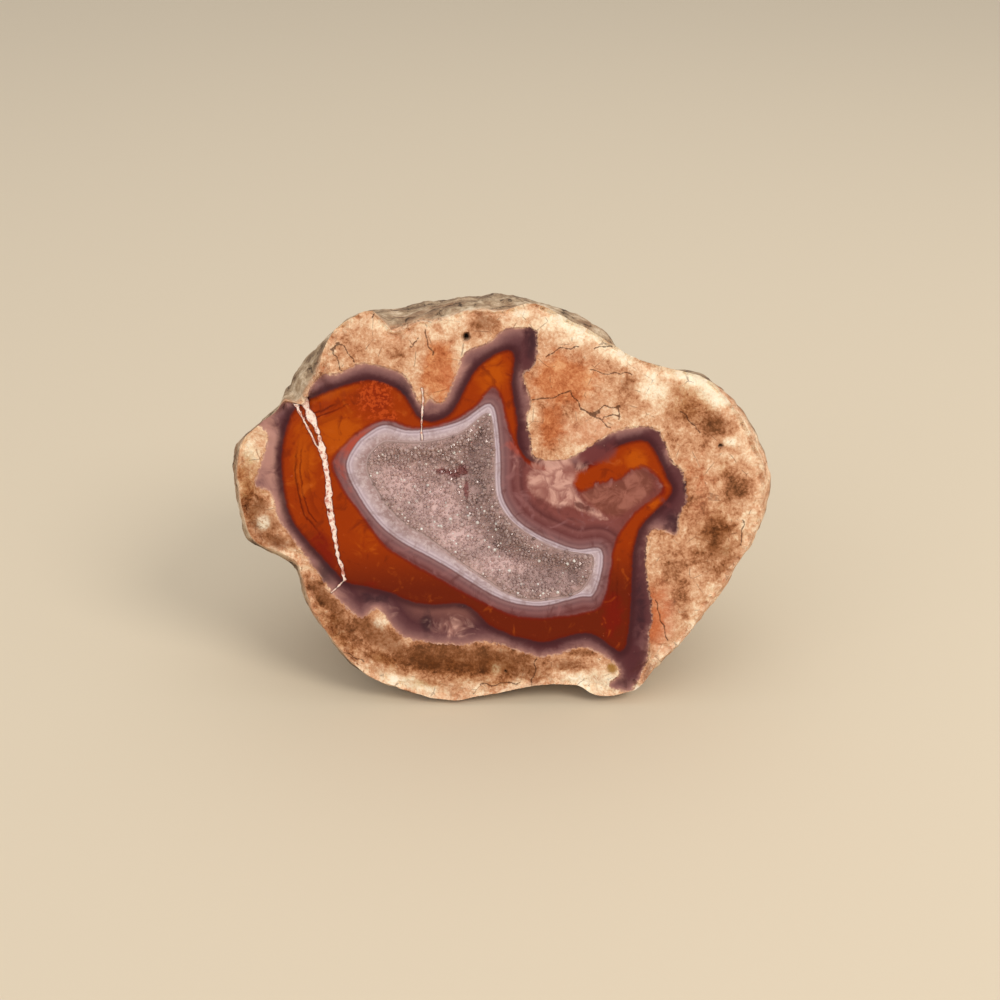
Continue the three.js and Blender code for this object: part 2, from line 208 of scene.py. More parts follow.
# Soft stains: across, up, half width, half height, turn in degrees, strength.
stains = {
    "redBrown": [
        (12, 24, 7.5, 6, 0, 0.9), (9.5, 15, 3.2, 6, 0, 0.75), (19, 21, 4, 3, 0, 0.4),
        (38, 3, 5, 9, 0, 0.4), (-12.8, 26, 3.6, 6.5, -8, 1), (31, -24, 3, 8, 0, 0.7),
    ],
    "brown": [
        (-3.5, 35, 3.2, 2.7, 0, 0.9), (-21, 29, 3.6, 1.2, 0, 0.5), (24.5, 23.5, 2.6, 3.7, 0, 0.6),
        (41.5, 15.5, 5.5, 4, 0, 0.7), (47, 2, 4, 6, 0, 0.6), (43, -10, 6.2, 9, 0, 0.7),
        (34, -14, 3.4, 5, 0, 0.6), (36.5, -22, 3, 5, 0, 0.5), (22, 24, 5, 4, 0, 0.35),
        (-48.5, -5.5, 4.8, 5.3, 30, 0.85), (-38, -18, 3.2, 2.5, 40, 0.6),
        (-32, -26.5, 3.2, 5.3, 40, 0.8), (-8, -33.2, 19, 3.2, -3, 1.2),
        (4, -35.5, 6.6, 3.1, 0, 0.9), (-25, -28.6, 8.5, 2.8, -34, 1.2),
        (-36, -20.5, 7, 1.8, -48, 1), (13, -34.5, 6, 1.8, 0, 0.8), (40, -5, 6, 10, 0, 0.45),
        (-43, -9, 4, 3, 0, 0.6), (-49.5, -1.5, 3, 2.4, 0, 1), (-46, -8.5, 3.4, 2, -20, 1.1),
        (16, -32, 4, 1, 0, 0.8), (37.5, -2, 4, 6.1, 0, 0.45), (30, 20, 2.4, 5.1, 0, 0.35),
        (-21, -31.5, 6, 2, -20, 0.7),
    ],
    "olive": [
        (-34, -25.5, 2, 4.9, 40, 0.6), (-41, -21, 1.6, 2, 0, 0.4),
        (-24, -33.5, 4.8, 1.8, -20, 0.8), (-16, -38.5, 6, 1.4, 0, 0.55),
        (-0.5, -38.5, 5.2, 1.2, 0, 0.6), (11.5, -35.5, 2, 1.2, 0, 0.4), (44, 6, 1.6, 2.9, 0, 0.5),
        (-50, -9.5, 3.6, 1, 0, 0.5), (-51, 3, 3.2, 9, 0, 0.7), (-35, -27, 12, 4, -45, 0.6),
        (-8, -35, 20, 4, -3, 0.7), (43, -8, 6, 9, 0, 0.6), (37, 19, 7, 5, -40, 0.6),
    ],
    "cream": [
        (13.5, 35.5, 7.2, 3.3, -20, 0.95), (41, 23, 4.8, 2.9, -45, 0.95),
        (29.5, 23.5, 2.4, 2, 0, 0.8), (20, -38, 7.6, 2.7, 0, 0.9), (45, 12, 2, 1, 15, 0.9),
        (11, 27, 1.4, 1.2, 0, 0.8), (21.5, 29.5, 5.2, 1.8, -20, 0.8), (30, 19.5, 2.8, 3.3, 0, 0.6),
        (-50, 9.5, 2, 5.3, 0, 0.6), (-33.5, 30.5, 2.8, 2.9, 0, 0.5), (-30, 34.5, 4.4, 2, 0, 0.5),
        (-0.5, 39, 6.8, 1.2, 0, 0.6), (40.5, -29.5, 3.2, 4.1, 40, 0.7), (44, -10, 2, 3.3, 0, 0.6),
        (-1.5, -35.5, 1.2, 1.8, 0, 0.9), (-48.5, -4, 1.8, 2, 0, 0.8), (36.5, 25, 6, 1.2, 0, 0.8),
        (48.5, -4, 1.2, 6.1, 0, 0.5), (-25, -25.5, 2, 1.8, 0, 0.85), (3.5, 37, 2.8, 1, 0, 0.7),
        (-24, 34, 4.4, 2, 0, 0.5), (28, -40, 2.4, 1, 0, 0.6), (17, 34, 3.6, 2.2, -25, 1.2),
        (41, 22, 5.5, 3, -42, 1.3), (29.5, 22, 3.4, 2.8, 0, 1), (-48.2, -4.6, 1.5, 1.8, 0, 1.4),
        (-20, -38.5, 6, 1.4, -12, 0.9),
    ],
    "salmon": [
        (32, -25, 3.6, 8.2, 0, 0.8), (17, 14, 8, 4.1, 0, 0.6), (-10.5, 24, 2.8, 4.5, 0, 0.5),
        (39.5, 0, 4, 8.2, 0, 0.4),
    ],
    "lichen": [
        (22.5, -35.5, 1.6, 1.6, 0, 0.8), (29, -29, 0.8, 2, 0, 0.8), (-48, 1.5, 2, 0.6, 0, 0.5),
        (-13.5, -29.5, 3.2, 0.6, 0, 0.5),
    ],
    "ember": [
        (22.5, -24, 2.8, 6.6, 0, 0.9), (-36.5, -10, 3.2, 7, 25, 0.9),
        (17, -28.5, 4.4, 1.2, 0, 0.6), (-30, 21.5, 8.8, 1.4, 10, 0.6), (16.8, 6.8, 3, 1, 22, 0.9),
        (31.5, 2, 1.4, 2.6, 40, 0.8), (-24, 19.5, 3.6, 4.1, 0, 0.5), (-29, -17.5, 6, 1.2, 0, 0.7),
    ],
    "coral": [
        (-29, 12, 2.2, 5, -45, 0.9), (-32, 6, 1.2, 3.6, 20, 0.6), (-14, 15, 4.4, 0.8, 0, 0.4),
        (3.6, 10, 3.4, 1.1, -35, 0.8), (8.5, 7.4, 2.6, 0.55, -8, 0.8),
    ],
    "cloud": [
        (-10.5, -26.5, 5.2, 2.7, 0, 0.6), (-22, -23, 2.4, 1.6, 0, 0.35),
        (10.5, 7, 6, 1.9, 0, 0.95),
    ],
    "plum": [
        (20, 10.2, 4, 2.4, 10, 0.9), (34.5, 2, 3.2, 7.5, 0, 1), (31, 12.5, 4, 3, 0, 0.9),
        (28.8, -18, 2.4, 14, 0, 0.95), (26, -33, 3.5, 5, 20, 0.9), (5.2, 28, 1.8, 8, 0, 0.9),
        (8, -30.5, 10, 1.6, 0, 0.6), (4, 13, 1.6, 5, 0, 0.9),
    ],
    "lilac": [
        (-46.5, 10, 2.6, 9, 0, 1), (-45, -1, 2, 5, 10, 0.8), (-37, -13.5, 2, 7, 40, 0.4),
        (-30, 26.4, 7, 1, 10, 0.4), (-9, 26, 2.2, 4, -30, 0.6), (-14, 18.2, 3, 1, 0, 0.5),
        (-33.5, -20, 3.5, 2.5, 0, 0.6), (-25.5, -22.5, 2, 1.2, 0, 0.7),
    ],
    "glow": [
        (-2, 25, 3.6, 4.5, -20, 0.9), (-33.5, 21.3, 6.5, 1.5, 12, 0.8), (-39.5, 9, 3, 9, 0, 0.8),
        (-32.5, 13.5, 5, 4.5, 0, 1), (26.4, 8.4, 2.6, 2.4, 0, 1), (-28, -7, 3, 5, 25, 0.5),
        (30, -0.5, 1.8, 3, 30, 0.8), (26.6, -14, 1, 5, 0, 0.6), (4.2, 18, 0.8, 5, 0, 0.8),
    ],
    "lined": [(-40, -2, 4.5, 15, 0, 1), (-35.5, 17.5, 6, 3.5, 20, 0.9), (23.6, -20, 4, 9, 0, 0.6)],
    "tangled": [(21, 6, 6.5, 4, 10, 1), (3.5, 14, 2, 5, 0, 0.5), (28, 1, 3, 3, 0, 0.5)],
    "granular": [(-25, 20.4, 3.3, 3.6, 0, 1), (-22.6, 16.4, 2, 1.4, 0, 0.8)],
    "plumFold": [(18.6, 9.2, 4.4, 1.9, 18, 1), (32.6, -0.5, 2.4, 1, -40, 0.7)],
    "crescent": [(15.8, -1.3, 2.4, 0.7, -22, 1), (12.8, -3.2, 6, 0.8, -30, 0.5)],
    "shadow": [
        (-15.5, -25.5, 1.4, 2.9, 0, 0.9), (-26.5, -20.5, 4.4, 1.6, 0, 0.8),
        (28, -22, 1.6, 9.2, 0, 0.7), (5.5, 31, 1.8, 4.1, 0, 0.9), (-6.5, -22, 4, 0.8, 0, 0.7),
        (36.5, 3, 0.8, 3.3, 0, 0.9), (34, -4, 2, 2.9, 0, 0.8), (-36, -15, 3.2, 2.9, 45, 0.7),
        (-19.5, 23, 2.8, 2.9, 0, 0.7), (24.5, -34.5, 2.4, 2.9, 0, 0.3),
    ],
}


# Camera

camera = {
    "lens": 50,
    "sensor": 36,
    "lookDown": 27,             # degrees
    "distance": 277.8,          # millimetres from the middle of the sawn face
    "sideStep": -0.6,
}


def makeCamera():
    lens = bpy.data.cameras.new("camera")
    lens.lens = camera["lens"]
    lens.sensor_width = camera["sensor"]
    body = bpy.data.objects.new("camera", lens)
    bpy.context.scene.collection.objects.link(body)
    down = math.radians(camera["lookDown"])
    forward = Vector((0, math.cos(down), -math.sin(down)))
    target = Vector(stone["faceMiddle"]) + Vector((camera["sideStep"], 0, 0))
    body.location = (target - forward * camera["distance"]) * mm
    body.rotation_euler = (math.radians(90) - down, 0, 0)
    bpy.context.scene.camera = body


# Small helpers for the shapes

def seededRandom(seed):     # the same draws as in the solid's source
    state = seed

    def draw():
        nonlocal state
        state = (state * 16807) % 2147483647
        return state / 2147483647
    return draw


def smoothLoop(points, steps=8):    # centripetal curve through a closed outline
    ring = np.array(points, dtype=float)
    count = len(ring)
    result = []
    for i in range(count):
        before, start, end, after = (ring[(i + k) % count] for k in (-1, 0, 1, 2))
        gaps = [math.sqrt(math.dist(a, b)) for a, b in ((before, start), (start, end), (end, after))]
        slope = (end - start) / gaps[1]
        leave = (start - before) / gaps[0] - (end - before) / (gaps[0] + gaps[1]) + slope
        arrive = slope - (after - start) / (gaps[1] + gaps[2]) + (after - end) / gaps[2]
        leave, arrive = leave * gaps[1], arrive * gaps[1]
        for step in range(steps):
            t = step / steps
            result.append((2 * t**3 - 3 * t**2 + 1) * start + (t**3 - 2 * t**2 + t) * leave
                          + (3 * t**2 - 2 * t**3) * end + (t**3 - t**2) * arrive)
    return np.array(result)


def radiusReader(outline, middle=(0, 0)):
    offset = outline - np.array(middle)
    angles = np.arctan2(offset[:, 1], offset[:, 0]) % math.tau
    radii = np.hypot(offset[:, 0], offset[:, 1])
    return lambda angle: np.interp(angle, angles, radii, period=math.tau)


def lineDistance(points, line, closed=False):
    ends = np.roll(line, -1, axis=0) if closed else line[1:]
    nearest = np.full(len(points), 1e9)
    for start, end in zip(line, ends):
        run = end - start
        offset = points - start
        share = np.clip(offset @ run / max(run @ run, 1e-12), 0, 1)
        gap = np.hypot(offset[:, 0] - share * run[0], offset[:, 1] - share * run[1])
        nearest = np.minimum(nearest, gap)
    return nearest


def insideOutline(points, outline):
    inside = np.zeros(len(points), dtype=bool)
    x, y = points[:, 0], points[:, 1]
    for (x0, y0), (x1, y1) in zip(outline, np.roll(outline, -1, axis=0)):
        if y0 != y1:
            crosses = (y0 > y) != (y1 > y)
            inside ^= crosses & (x < (x1 - x0) * (y - y0) / (y1 - y0) + x0)
    return inside


def depthInside(points, outline):   # distance to the outline, positive inside it
    gap = lineDistance(points, outline, closed=True)
    return np.where(insideOutline(points, outline), gap, -gap)


def smoothStep(value, low, high):
    share = np.clip((value - low) / (high - low), 0, 1)
    return share * share * (3 - 2 * share)


def spacedAlong(line, spacing):
    line = np.array(line, dtype=float)
    placed = [line[0]]
    for start, end in zip(line, line[1:]):
        count = max(1, round(math.dist(start, end) / spacing))
        placed += [start + (end - start) * k / count for k in range(1, count + 1)]
    return np.array(placed)


def standUp(points):        # from the sawn face's own axes to the frame's, in metres
    lean = math.radians(90 - stone["faceLean"])
    x, y, z = points.T
    back = y * math.cos(lean) - z * math.sin(lean)
    height = y * math.sin(lean) + z * math.cos(lean)
    return (np.stack([x, back, height], 1) + np.array(stone["faceMiddle"])) * mm


def roughLine(line, spacing, sway, seed):   # a straight-drawn line made to wander as a fracture does
    points = spacedAlong(line, spacing)
    for i in range(1, len(points) - 1):
        drift = noise.noise_vector(Vector((points[i][0] * 0.55, points[i][1] * 0.55, seed)))
        points[i] += np.array(drift.xy) * sway
    return points


def newPiece(name, points, polygons):
    mesh = bpy.data.meshes.new(name)
    mesh.from_pydata(points.tolist(), [], polygons)
    mesh.update()
    piece = bpy.data.objects.new(name, mesh)
    bpy.context.scene.collection.objects.link(piece)
    return piece


def setAttribute(mesh, name, values):
    layer = mesh.attributes.new(name, "FLOAT", "POINT")
    layer.data.foreach_set("value", np.asarray(values, dtype=np.float32))


# Shape of the rind, the same as the solid's, with a finer relief on it

faceRim = smoothLoop(stone["faceEdge"])
hollowRim = smoothLoop(hollow["edge"])
faceRadius = radiusReader(faceRim)
widestRadius = radiusReader(smoothLoop(stone["widestEdge"]))
hollowRadius = radiusReader(hollowRim, hollow["middle"])


def rindPoints(angle, run):
    edge, widest = faceRadius(angle), widestRadius(angle)
    turn = np.clip(run - 1, 0, 1) * math.pi / 2
    power = 2 / stone["domePower"]
    oval = 1 / np.hypot(np.cos(angle) / stone["domeHalfWidth"], np.sin(angle) / stone["domeHalfHeight"])
    eased = widest + (oval - widest) * smoothStep(run, 1, 1.7)
    domeRadius = eased * np.clip(np.cos(turn), 0, 1) ** power
    domeBack = stone["widestDepth"] + (stone["depth"] - stone["widestDepth"]) * np.sin(turn) ** power
    rimRadius = edge + (widest - edge) * (1 - (1 - np.clip(run, 0, 1)) ** 3)
    radius = np.where(run <= 1, rimRadius, domeRadius)
    back = np.where(run <= 1, stone["widestDepth"] * run, domeBack)
    return np.stack([radius * np.cos(angle), radius * np.sin(angle), -back], axis=-1)


def addKnobs(points):
    draw = seededRandom(7)
    goldenAngle = math.radians(137.508)
    rise = np.zeros(len(points))
    for i in range(stone["knobCount"]):
        angle = (i * goldenAngle) % math.tau
        run = 0.35 + 1.6 * math.sqrt((i + 0.5) / stone["knobCount"]) - 0.3 * draw()
        spread = 2.6 + 2.2 * draw()
        isDent = draw() < 0.3
        height = (0.4 + 0.3 * draw()) * spread * (-0.7 if isDent else 1)
        place = rindPoints(np.array(angle), np.array(run))
        rise += height * np.exp(-((points - place) ** 2).sum(1) / (2 * spread * spread))
    grown = smoothStep(-points[:, 2], stone["knobsFrom"], stone["knobsGrown"])
    outward = points - np.array([0, 0, -stone["widestDepth"]])
    outward /= np.linalg.norm(outward, axis=1)[:, None]
    return points + outward * (rise * grown)[:, None], outward


def addRelief(points, outward):     # rough weathered skin, cut into the rind
    cut = np.empty(len(points))
    for i, (x, y, z) in enumerate(points):
        broad = noise.fractal(Vector((x, y, z)) / 7, 0.9, 2.1, 4)
        crag = noise.ridged_multi_fractal(Vector((x + 31, y, z)) / 5.5, 0.85, 2.2, 4, 1.0, 2.0)
        cut[i] = 0.35 + 0.55 * broad - 0.28 * (crag - 1.2)
    cut = np.clip(cut, 0, 1.3) * stone["reliefDepth"]
    begins = 0.6 + 0.4 * smoothStep(-points[:, 2], 0.0, 2.5)
    return points - outward * (cut * begins)[:, None]


def hollowFloor(points):
    inward = np.minimum(lineDistance(points, hollowRim, closed=True), hollow["reach"]) / hollow["reach"]
    return -hollow["depth"] * (1 - (1 - inward) ** hollow["power"])


def hollowRings(shares):
    angle = np.arange(hollow["aroundSteps"]) / hollow["aroundSteps"] * math.tau
    radius = hollowRadius(angle)
    spoke = np.stack([radius * np.cos(angle), radius * np.sin(angle)], 1)
    return [spoke * share + np.array(hollow["middle"]) for share in shares]


def ringStrip(first, second, count):    # quads between two rings, first one outside
    following = [(i + 1) % count for i in range(count)]
    return [(first + i, first + k, second + k, second + i) for i, k in enumerate(following)]


def closedBowl(first, rings, count):    # nested rings, closed by triangles to a middle point
    polygons = []
    for ring in range(rings - 1):
        polygons += ringStrip(first + ring * count, first + (ring + 1) * count, count)
    last, middle = first + (rings - 1) * count, first + rings * count
    return polygons + [(last + i, last + (i + 1) % count, middle) for i in range(count)]


def facePoints(rimRing, hollowRing, seamPoints):
    step = stone["faceGrain"]
    spread = np.random.RandomState(5)
    across = np.arange(*stone["grainAcross"], step)
    up = np.arange(*stone["grainUp"], step)
    grid = np.stack([side.ravel() for side in np.meshgrid(across, up)], 1)
    grid += spread.uniform(-stone["grainJitter"], stone["grainJitter"], grid.shape) * step
    clear = (depthInside(grid, rimRing) > 0.3) & (depthInside(grid, hollowRing) < -0.3)
    grid = grid[clear]
    for line in seamPoints:
        grid = grid[lineDistance(grid, line) > 0.28]
    return grid


noise.seed_set(seams["wanderSeed"])     # the lines wander the same way in every run
veinLines = [roughLine(line, 0.35, 0.22, 2.0) for line in seams["veins"]]
crackLines = [roughLine(line, 0.4, 0.75, 7.0) for line in seams["cracks"]]


def pitShares(flat):    # each pit's depth, and how much of it each point has
    for across, up, radius, depth in seams["pits"]:
        gap = np.hypot(flat[:, 0] - across, flat[:, 1] - up)
        yield depth, 1 - smoothStep(gap, radius * 0.5, radius * 1.3)


def faceDips(points, rimRing):      # chips along the edge of the sawn face, and the pits
    dip = np.zeros(len(points))
    fromRim = lineDistance(points, rimRing, closed=True)
    for i, (x, y) in enumerate(points):
        reach = stone["chipReach"] + (stone["crumbleReach"] if x < -30 or y < -30 else 0)
        if fromRim[i] < reach:
            crag = noise.ridged_multi_fractal(Vector((x, y, 4.0)) / 3.4, 0.8, 2.2, 4, 1.0, 2.0)
            share = 1 - fromRim[i] / reach
            dip[i] = -stone["chipDepth"] * share * max(0.0, 1.7 - crag)
    for depth, share in pitShares(points):
        dip -= depth * share
    return dip


def stoneMesh():
    around = stone["aroundSteps"]
    angle = np.arange(around) / around * math.tau
    runs = [(i / stone["rimSteps"]) ** 1.25 for i in range(stone["rimSteps"])]
    runs += [1 + i / stone["domeSteps"] for i in range(stone["domeSteps"])]
    rind = np.concatenate([rindPoints(angle, np.full(around, run)) for run in runs]
                          + [rindPoints(np.zeros(1), np.full(1, 2.0))])
    rind, outward = addKnobs(rind)
    rind = addRelief(rind, outward)
    polygons = [corners[::-1] for corners in closedBowl(0, len(runs), around)]
    kinds = [1] * len(polygons)

    # the hollow under the crust
    shares = np.linspace(1, 0, hollow["ringShares"] + 1)[:-1]
    rings = hollowRings(shares)
    hollowFlat = np.concatenate(rings + [np.array([hollow["middle"]])])
    hollowHeights = hollowFloor(hollowFlat)
    hollowHeights[:hollow["aroundSteps"]] = 0
    hollowStart = len(rind)
    count = hollow["aroundSteps"]
    polygons += closedBowl(hollowStart, len(shares), count)
    kinds += [2] * (len(polygons) - len(kinds))

    # the sawn face between the rim and the hollow
    seamPoints = veinLines + crackLines
    rimRing, hollowRing = rind[:around, :2], hollowFlat[:count]
    inner = facePoints(rimRing, hollowRing, seamPoints)
    onSeams = np.concatenate(seamPoints)
    fits = (depthInside(onSeams, rimRing) > 0.25) & (depthInside(onSeams, hollowRing) < -0.25)
    inner = np.concatenate([inner, onSeams[fits]])
    flat = np.concatenate([rimRing, hollowRing, inner])
    edges = [(i, (i + 1) % around) for i in range(around)]
    edges += [(around + i, around + (i + 1) % count) for i in range(count)]
    cdt = delaunay_2d_cdt([Vector(p) for p in flat], edges, [], 0, 1e-5)
    placed = np.array([tuple(p) for p in cdt[0]])
    origin = [source[0] if source else -1 for source in cdt[3]]
    triangles = np.array(cdt[2])
    middles = placed[triangles].mean(axis=1)
    keep = insideOutline(middles, rimRing) & ~insideOutline(middles, hollowRing)
    innerStart = len(rind) + len(hollowFlat)

    def meshIndex(source):
        if source < around:
            return source
        if source < around + count:
            return hollowStart + source - around
        return innerStart + source - around - count

    lookup = np.array([meshIndex(source) for source in origin])
    faces = lookup[triangles[keep]]
    corners = placed[triangles[keep]]
    turn = np.cross(corners[:, 1] - corners[:, 0], corners[:, 2] - corners[:, 0])
    faces[turn < 0] = faces[turn < 0][:, ::-1]
    polygons += [tuple(int(i) for i in face) for face in faces]
    kinds += [0] * (len(polygons) - len(kinds))

    points = np.concatenate([
        rind,
        np.column_stack([hollowFlat, hollowHeights]),
        np.column_stack([inner, faceDips(inner, rimRing)]),
    ])
    return points, polygons, kinds


def paintDistances(mesh, points):
    flat = points[:, :2]
    onFace = points[:, 2] > -3
    for name, outline in bands.items():
        values = np.full(len(flat), -20.0)
        values[onFace] = depthInside(flat[onFace], smoothLoop(outline, 5))
        setAttribute(mesh, name, values)
    vein = np.full(len(flat), 20.0)
    crack = np.full(len(flat), 20.0)
    for line, (startWidth, endWidth) in zip(veinLines, seams["veinWidths"]):
        for i, place in enumerate(line):
            width = startWidth + (endWidth - startWidth) * i / len(line)
            width *= 0.75 + 0.9 * noise.noise(Vector((place[0], place[1], 5.0)) * 0.9)
            gap = np.hypot(flat[:, 0] - place[0], flat[:, 1] - place[1]) - width
            vein = np.where(onFace, np.minimum(vein, gap), vein)
    for line in crackLines:
        crack[onFace] = np.minimum(crack[onFace], lineDistance(flat[onFace], line))
    setAttribute(mesh, "veinOut", vein)
    setAttribute(mesh, "crackOut", crack)
    setAttribute(mesh, "rimIn", np.where(onFace, depthInside(flat, faceRim), -20))
    setAttribute(mesh, "behindFace", -points[:, 2])
    inPit = np.max([share for _, share in pitShares(flat)], axis=0)
    setAttribute(mesh, "pitShadeMask", inPit * onFace)
    for name, patches in stains.items():
        total = np.zeros(len(flat))
        for across, up, halfWidth, halfHeight, turn, strength in patches:
            swing = math.radians(turn)
            x, y = flat[:, 0] - across, flat[:, 1] - up
            along = (x * math.cos(swing) + y * math.sin(swing)) / halfWidth
            beside = (y * math.cos(swing) - x * math.sin(swing)) / halfHeight
            total = np.maximum(total, strength * np.exp(-0.9 * (along**2 + beside**2)))
        setAttribute(mesh, name, total * onFace)


# A map of the surface: the face flat, the rind as a disc, the hollow flat.
unwrap = {
    "scale": 0.0038,            # of the map's side, a millimetre
    "face": (0.22, 0.2),
    "rind": (0.69, 0.69),
    "hollow": (0.2, 0.6),
    "sideReach": 62,            # from the disc's middle to the rind's widest ring
    "backStretch": 1.18,
}


def layOutSurface(mesh, points, kinds):
    layer = mesh.uv_layers.new(name="OFBake")
    flat, back = points[:, :2], -points[:, 2]
    reach = np.hypot(flat[:, 0], flat[:, 1])
    ahead = stone["widestDepth"] - back
    wayOut = np.where(ahead > 0, unwrap["sideReach"] + ahead, reach * unwrap["backStretch"])
    disc = flat / np.maximum(reach, 1e-6)[:, None] * wayOut[:, None]
    spots = [
        flat * unwrap["scale"] + np.array(unwrap["face"]),
        disc * unwrap["scale"] + np.array(unwrap["rind"]),
        flat * unwrap["scale"] + np.array(unwrap["hollow"]),
    ]
    corners = np.empty(len(mesh.loops), dtype=np.int32)
    mesh.loops.foreach_get("vertex_index", corners)
    sizes = np.empty(len(mesh.polygons), dtype=np.int32)
    mesh.polygons.foreach_get("loop_total", sizes)
    kindOfCorner = np.repeat(np.array(kinds), sizes)
    values = np.stack(spots)[kindOfCorner, corners]
    layer.data.foreach_set("uv", values.astype(np.float32).ravel())


# Material helpers

def tone(red, green, blue):     # from the 0 to 255 values that a colour picker shows
    def linear(value):
        value /= 255
        return value / 12.92 if value <= 0.04045 else ((value + 0.055) / 1.055) ** 2.4
    return (linear(red), linear(green), linear(blue), 1)


def addNode(tree, kind, inputs=None, **settings):
    node = tree.nodes.new(kind)
    for name, value in settings.items():
        setattr(node, name, value)
    for key, value in (inputs or {}).items():
        if isinstance(value, bpy.types.NodeSocket):
            tree.links.new(value, node.inputs[key])
        else:
            node.inputs[key].default_value = value
    return node


def calc(tree, operation, a, b):
    return addNode(tree, "ShaderNodeMath", {0: a, 1: b}, operation=operation).outputs[0]


def times(tree, a, b):
    return calc(tree, "MULTIPLY", a, b)


def plus(tree, a, b):
    return calc(tree, "ADD", a, b)


def minus(tree, a, b):
    return calc(tree, "SUBTRACT", a, b)


def between(tree, value, low, high, smooth=True):   # 0 at low, 1 at high
    kind = "SMOOTHSTEP" if smooth else "LINEAR"
    node = addNode(tree, "ShaderNodeMapRange", {0: value, 1: low, 2: high}, interpolation_type=kind)
    return node.outputs[0]


def blend(tree, share, under, over, mode="MIX"):
    inputs = {0: share, 6: under, 7: over}
    return addNode(tree, "ShaderNodeMix", inputs, data_type="RGBA", blend_type=mode).outputs[2]


def colourRamp(tree, value, stops, low, high):      # stops as (place in mm, colour)
    share = between(tree, value, low, high, smooth=False)
    node = addNode(tree, "ShaderNodeValToRGB", {0: share})
    ramp = node.color_ramp
    for i, (place, shade) in enumerate(stops):
        position = (place - low) / (high - low)
        element = ramp.elements[i] if i < 2 else ramp.elements.new(position)
        element.position = position
        element.color = shade
    return node.outputs[0]


def readAttribute(tree, name):
    return addNode(tree, "ShaderNodeAttribute", attribute_name=name).outputs["Fac"]


def grainNoise(tree, place, scale, detail=3.0, roughness=0.55, distortion=0.0):
    return addNode(tree, "ShaderNodeTexNoise", {
        "Vector": place, "Scale": scale, "Detail": detail, "Roughness": roughness,
        "Distortion": distortion,
    }).outputs[0]


def scaled(tree, vector, factor):
    return addNode(tree, "ShaderNodeVectorMath", {0: vector, 3: factor}, operation="SCALE").outputs[0]


def moved(tree, vector, step):
    return addNode(tree, "ShaderNodeVectorMath", {0: vector, 1: step}, operation="ADD").outputs[0]


def cellEdges(tree, place, scale):      # distance to the edges of cells, as between broken blocks
    inputs = {"Vector": place, "Scale": scale}
    return addNode(tree, "ShaderNodeTexVoronoi", inputs, feature="DISTANCE_TO_EDGE").outputs[0]


def wander(tree, place, scale):     # a slow drift that keeps cell edges from running straight
    inputs = {"Vector": place, "Scale": scale, "Detail": 3.0}
    return addNode(tree, "ShaderNodeTexNoise", inputs).outputs[1]


def millimetrePlace(tree):
    where = addNode(tree, "ShaderNodeTexCoord").outputs["Object"]
    return scaled(tree, where, 1000.0)


def newMaterial(name):
    material = bpy.data.materials.new(name)
    material.use_nodes = True
    tree = material.node_tree
    return material, tree, tree.nodes["Principled BSDF"]


def roughen(tree, height, strength, distance):      # a bumped normal, the distance in metres
    inputs = {"Strength": strength, "Distance": distance, "Height": height}
    return addNode(tree, "ShaderNodeBump", inputs).outputs[0]


def finishSurface(tree, shader, colour, normal):
    tree.links.new(colour, shader.inputs["Base Color"])
    tree.links.new(normal, shader.inputs["Normal"])


# Effects that more than one material uses

def newGroup(name, takes, gives):
    group = bpy.data.node_groups.new(name, "ShaderNodeTree")
    for side, sockets in (("INPUT", takes), ("OUTPUT", gives)):
        for label, kind in sockets.items():
            group.interface.new_socket(label, in_out=side, socket_type="NodeSocket" + kind)
    return group, addNode(group, "NodeGroupInput").outputs, addNode(group, "NodeGroupOutput").inputs


def useGroup(tree, group, label, value):    # the group in a material, with its one input set
    return addNode(tree, "ShaderNodeGroup", {label: value}, node_tree=group).outputs


# Mineral grain: fine mottling, specks and a height.
def makeGrainGroup():
    group, start, end = newGroup("mineralGrain", {"Size": "Float"}, {
        "Mottle": "Float", "Specks": "Float", "Height": "Float",
    })
    sized = scaled(group, millimetrePlace(group), start["Size"])
    broad = grainNoise(group, sized, 0.45, 4, 0.6)
    fine = grainNoise(group, sized, 2.2, 4, 0.7)
    mottle = plus(group, times(group, broad, 0.55), times(group, fine, 0.45))
    speckNoise = grainNoise(group, sized, 3.4, 2, 0.5)
    group.links.new(between(group, mottle, 0.36, 0.64), end["Mottle"])
    group.links.new(between(group, speckNoise, 0.62, 0.7), end["Specks"])
    group.links.new(mottle, end["Height"])
    return group


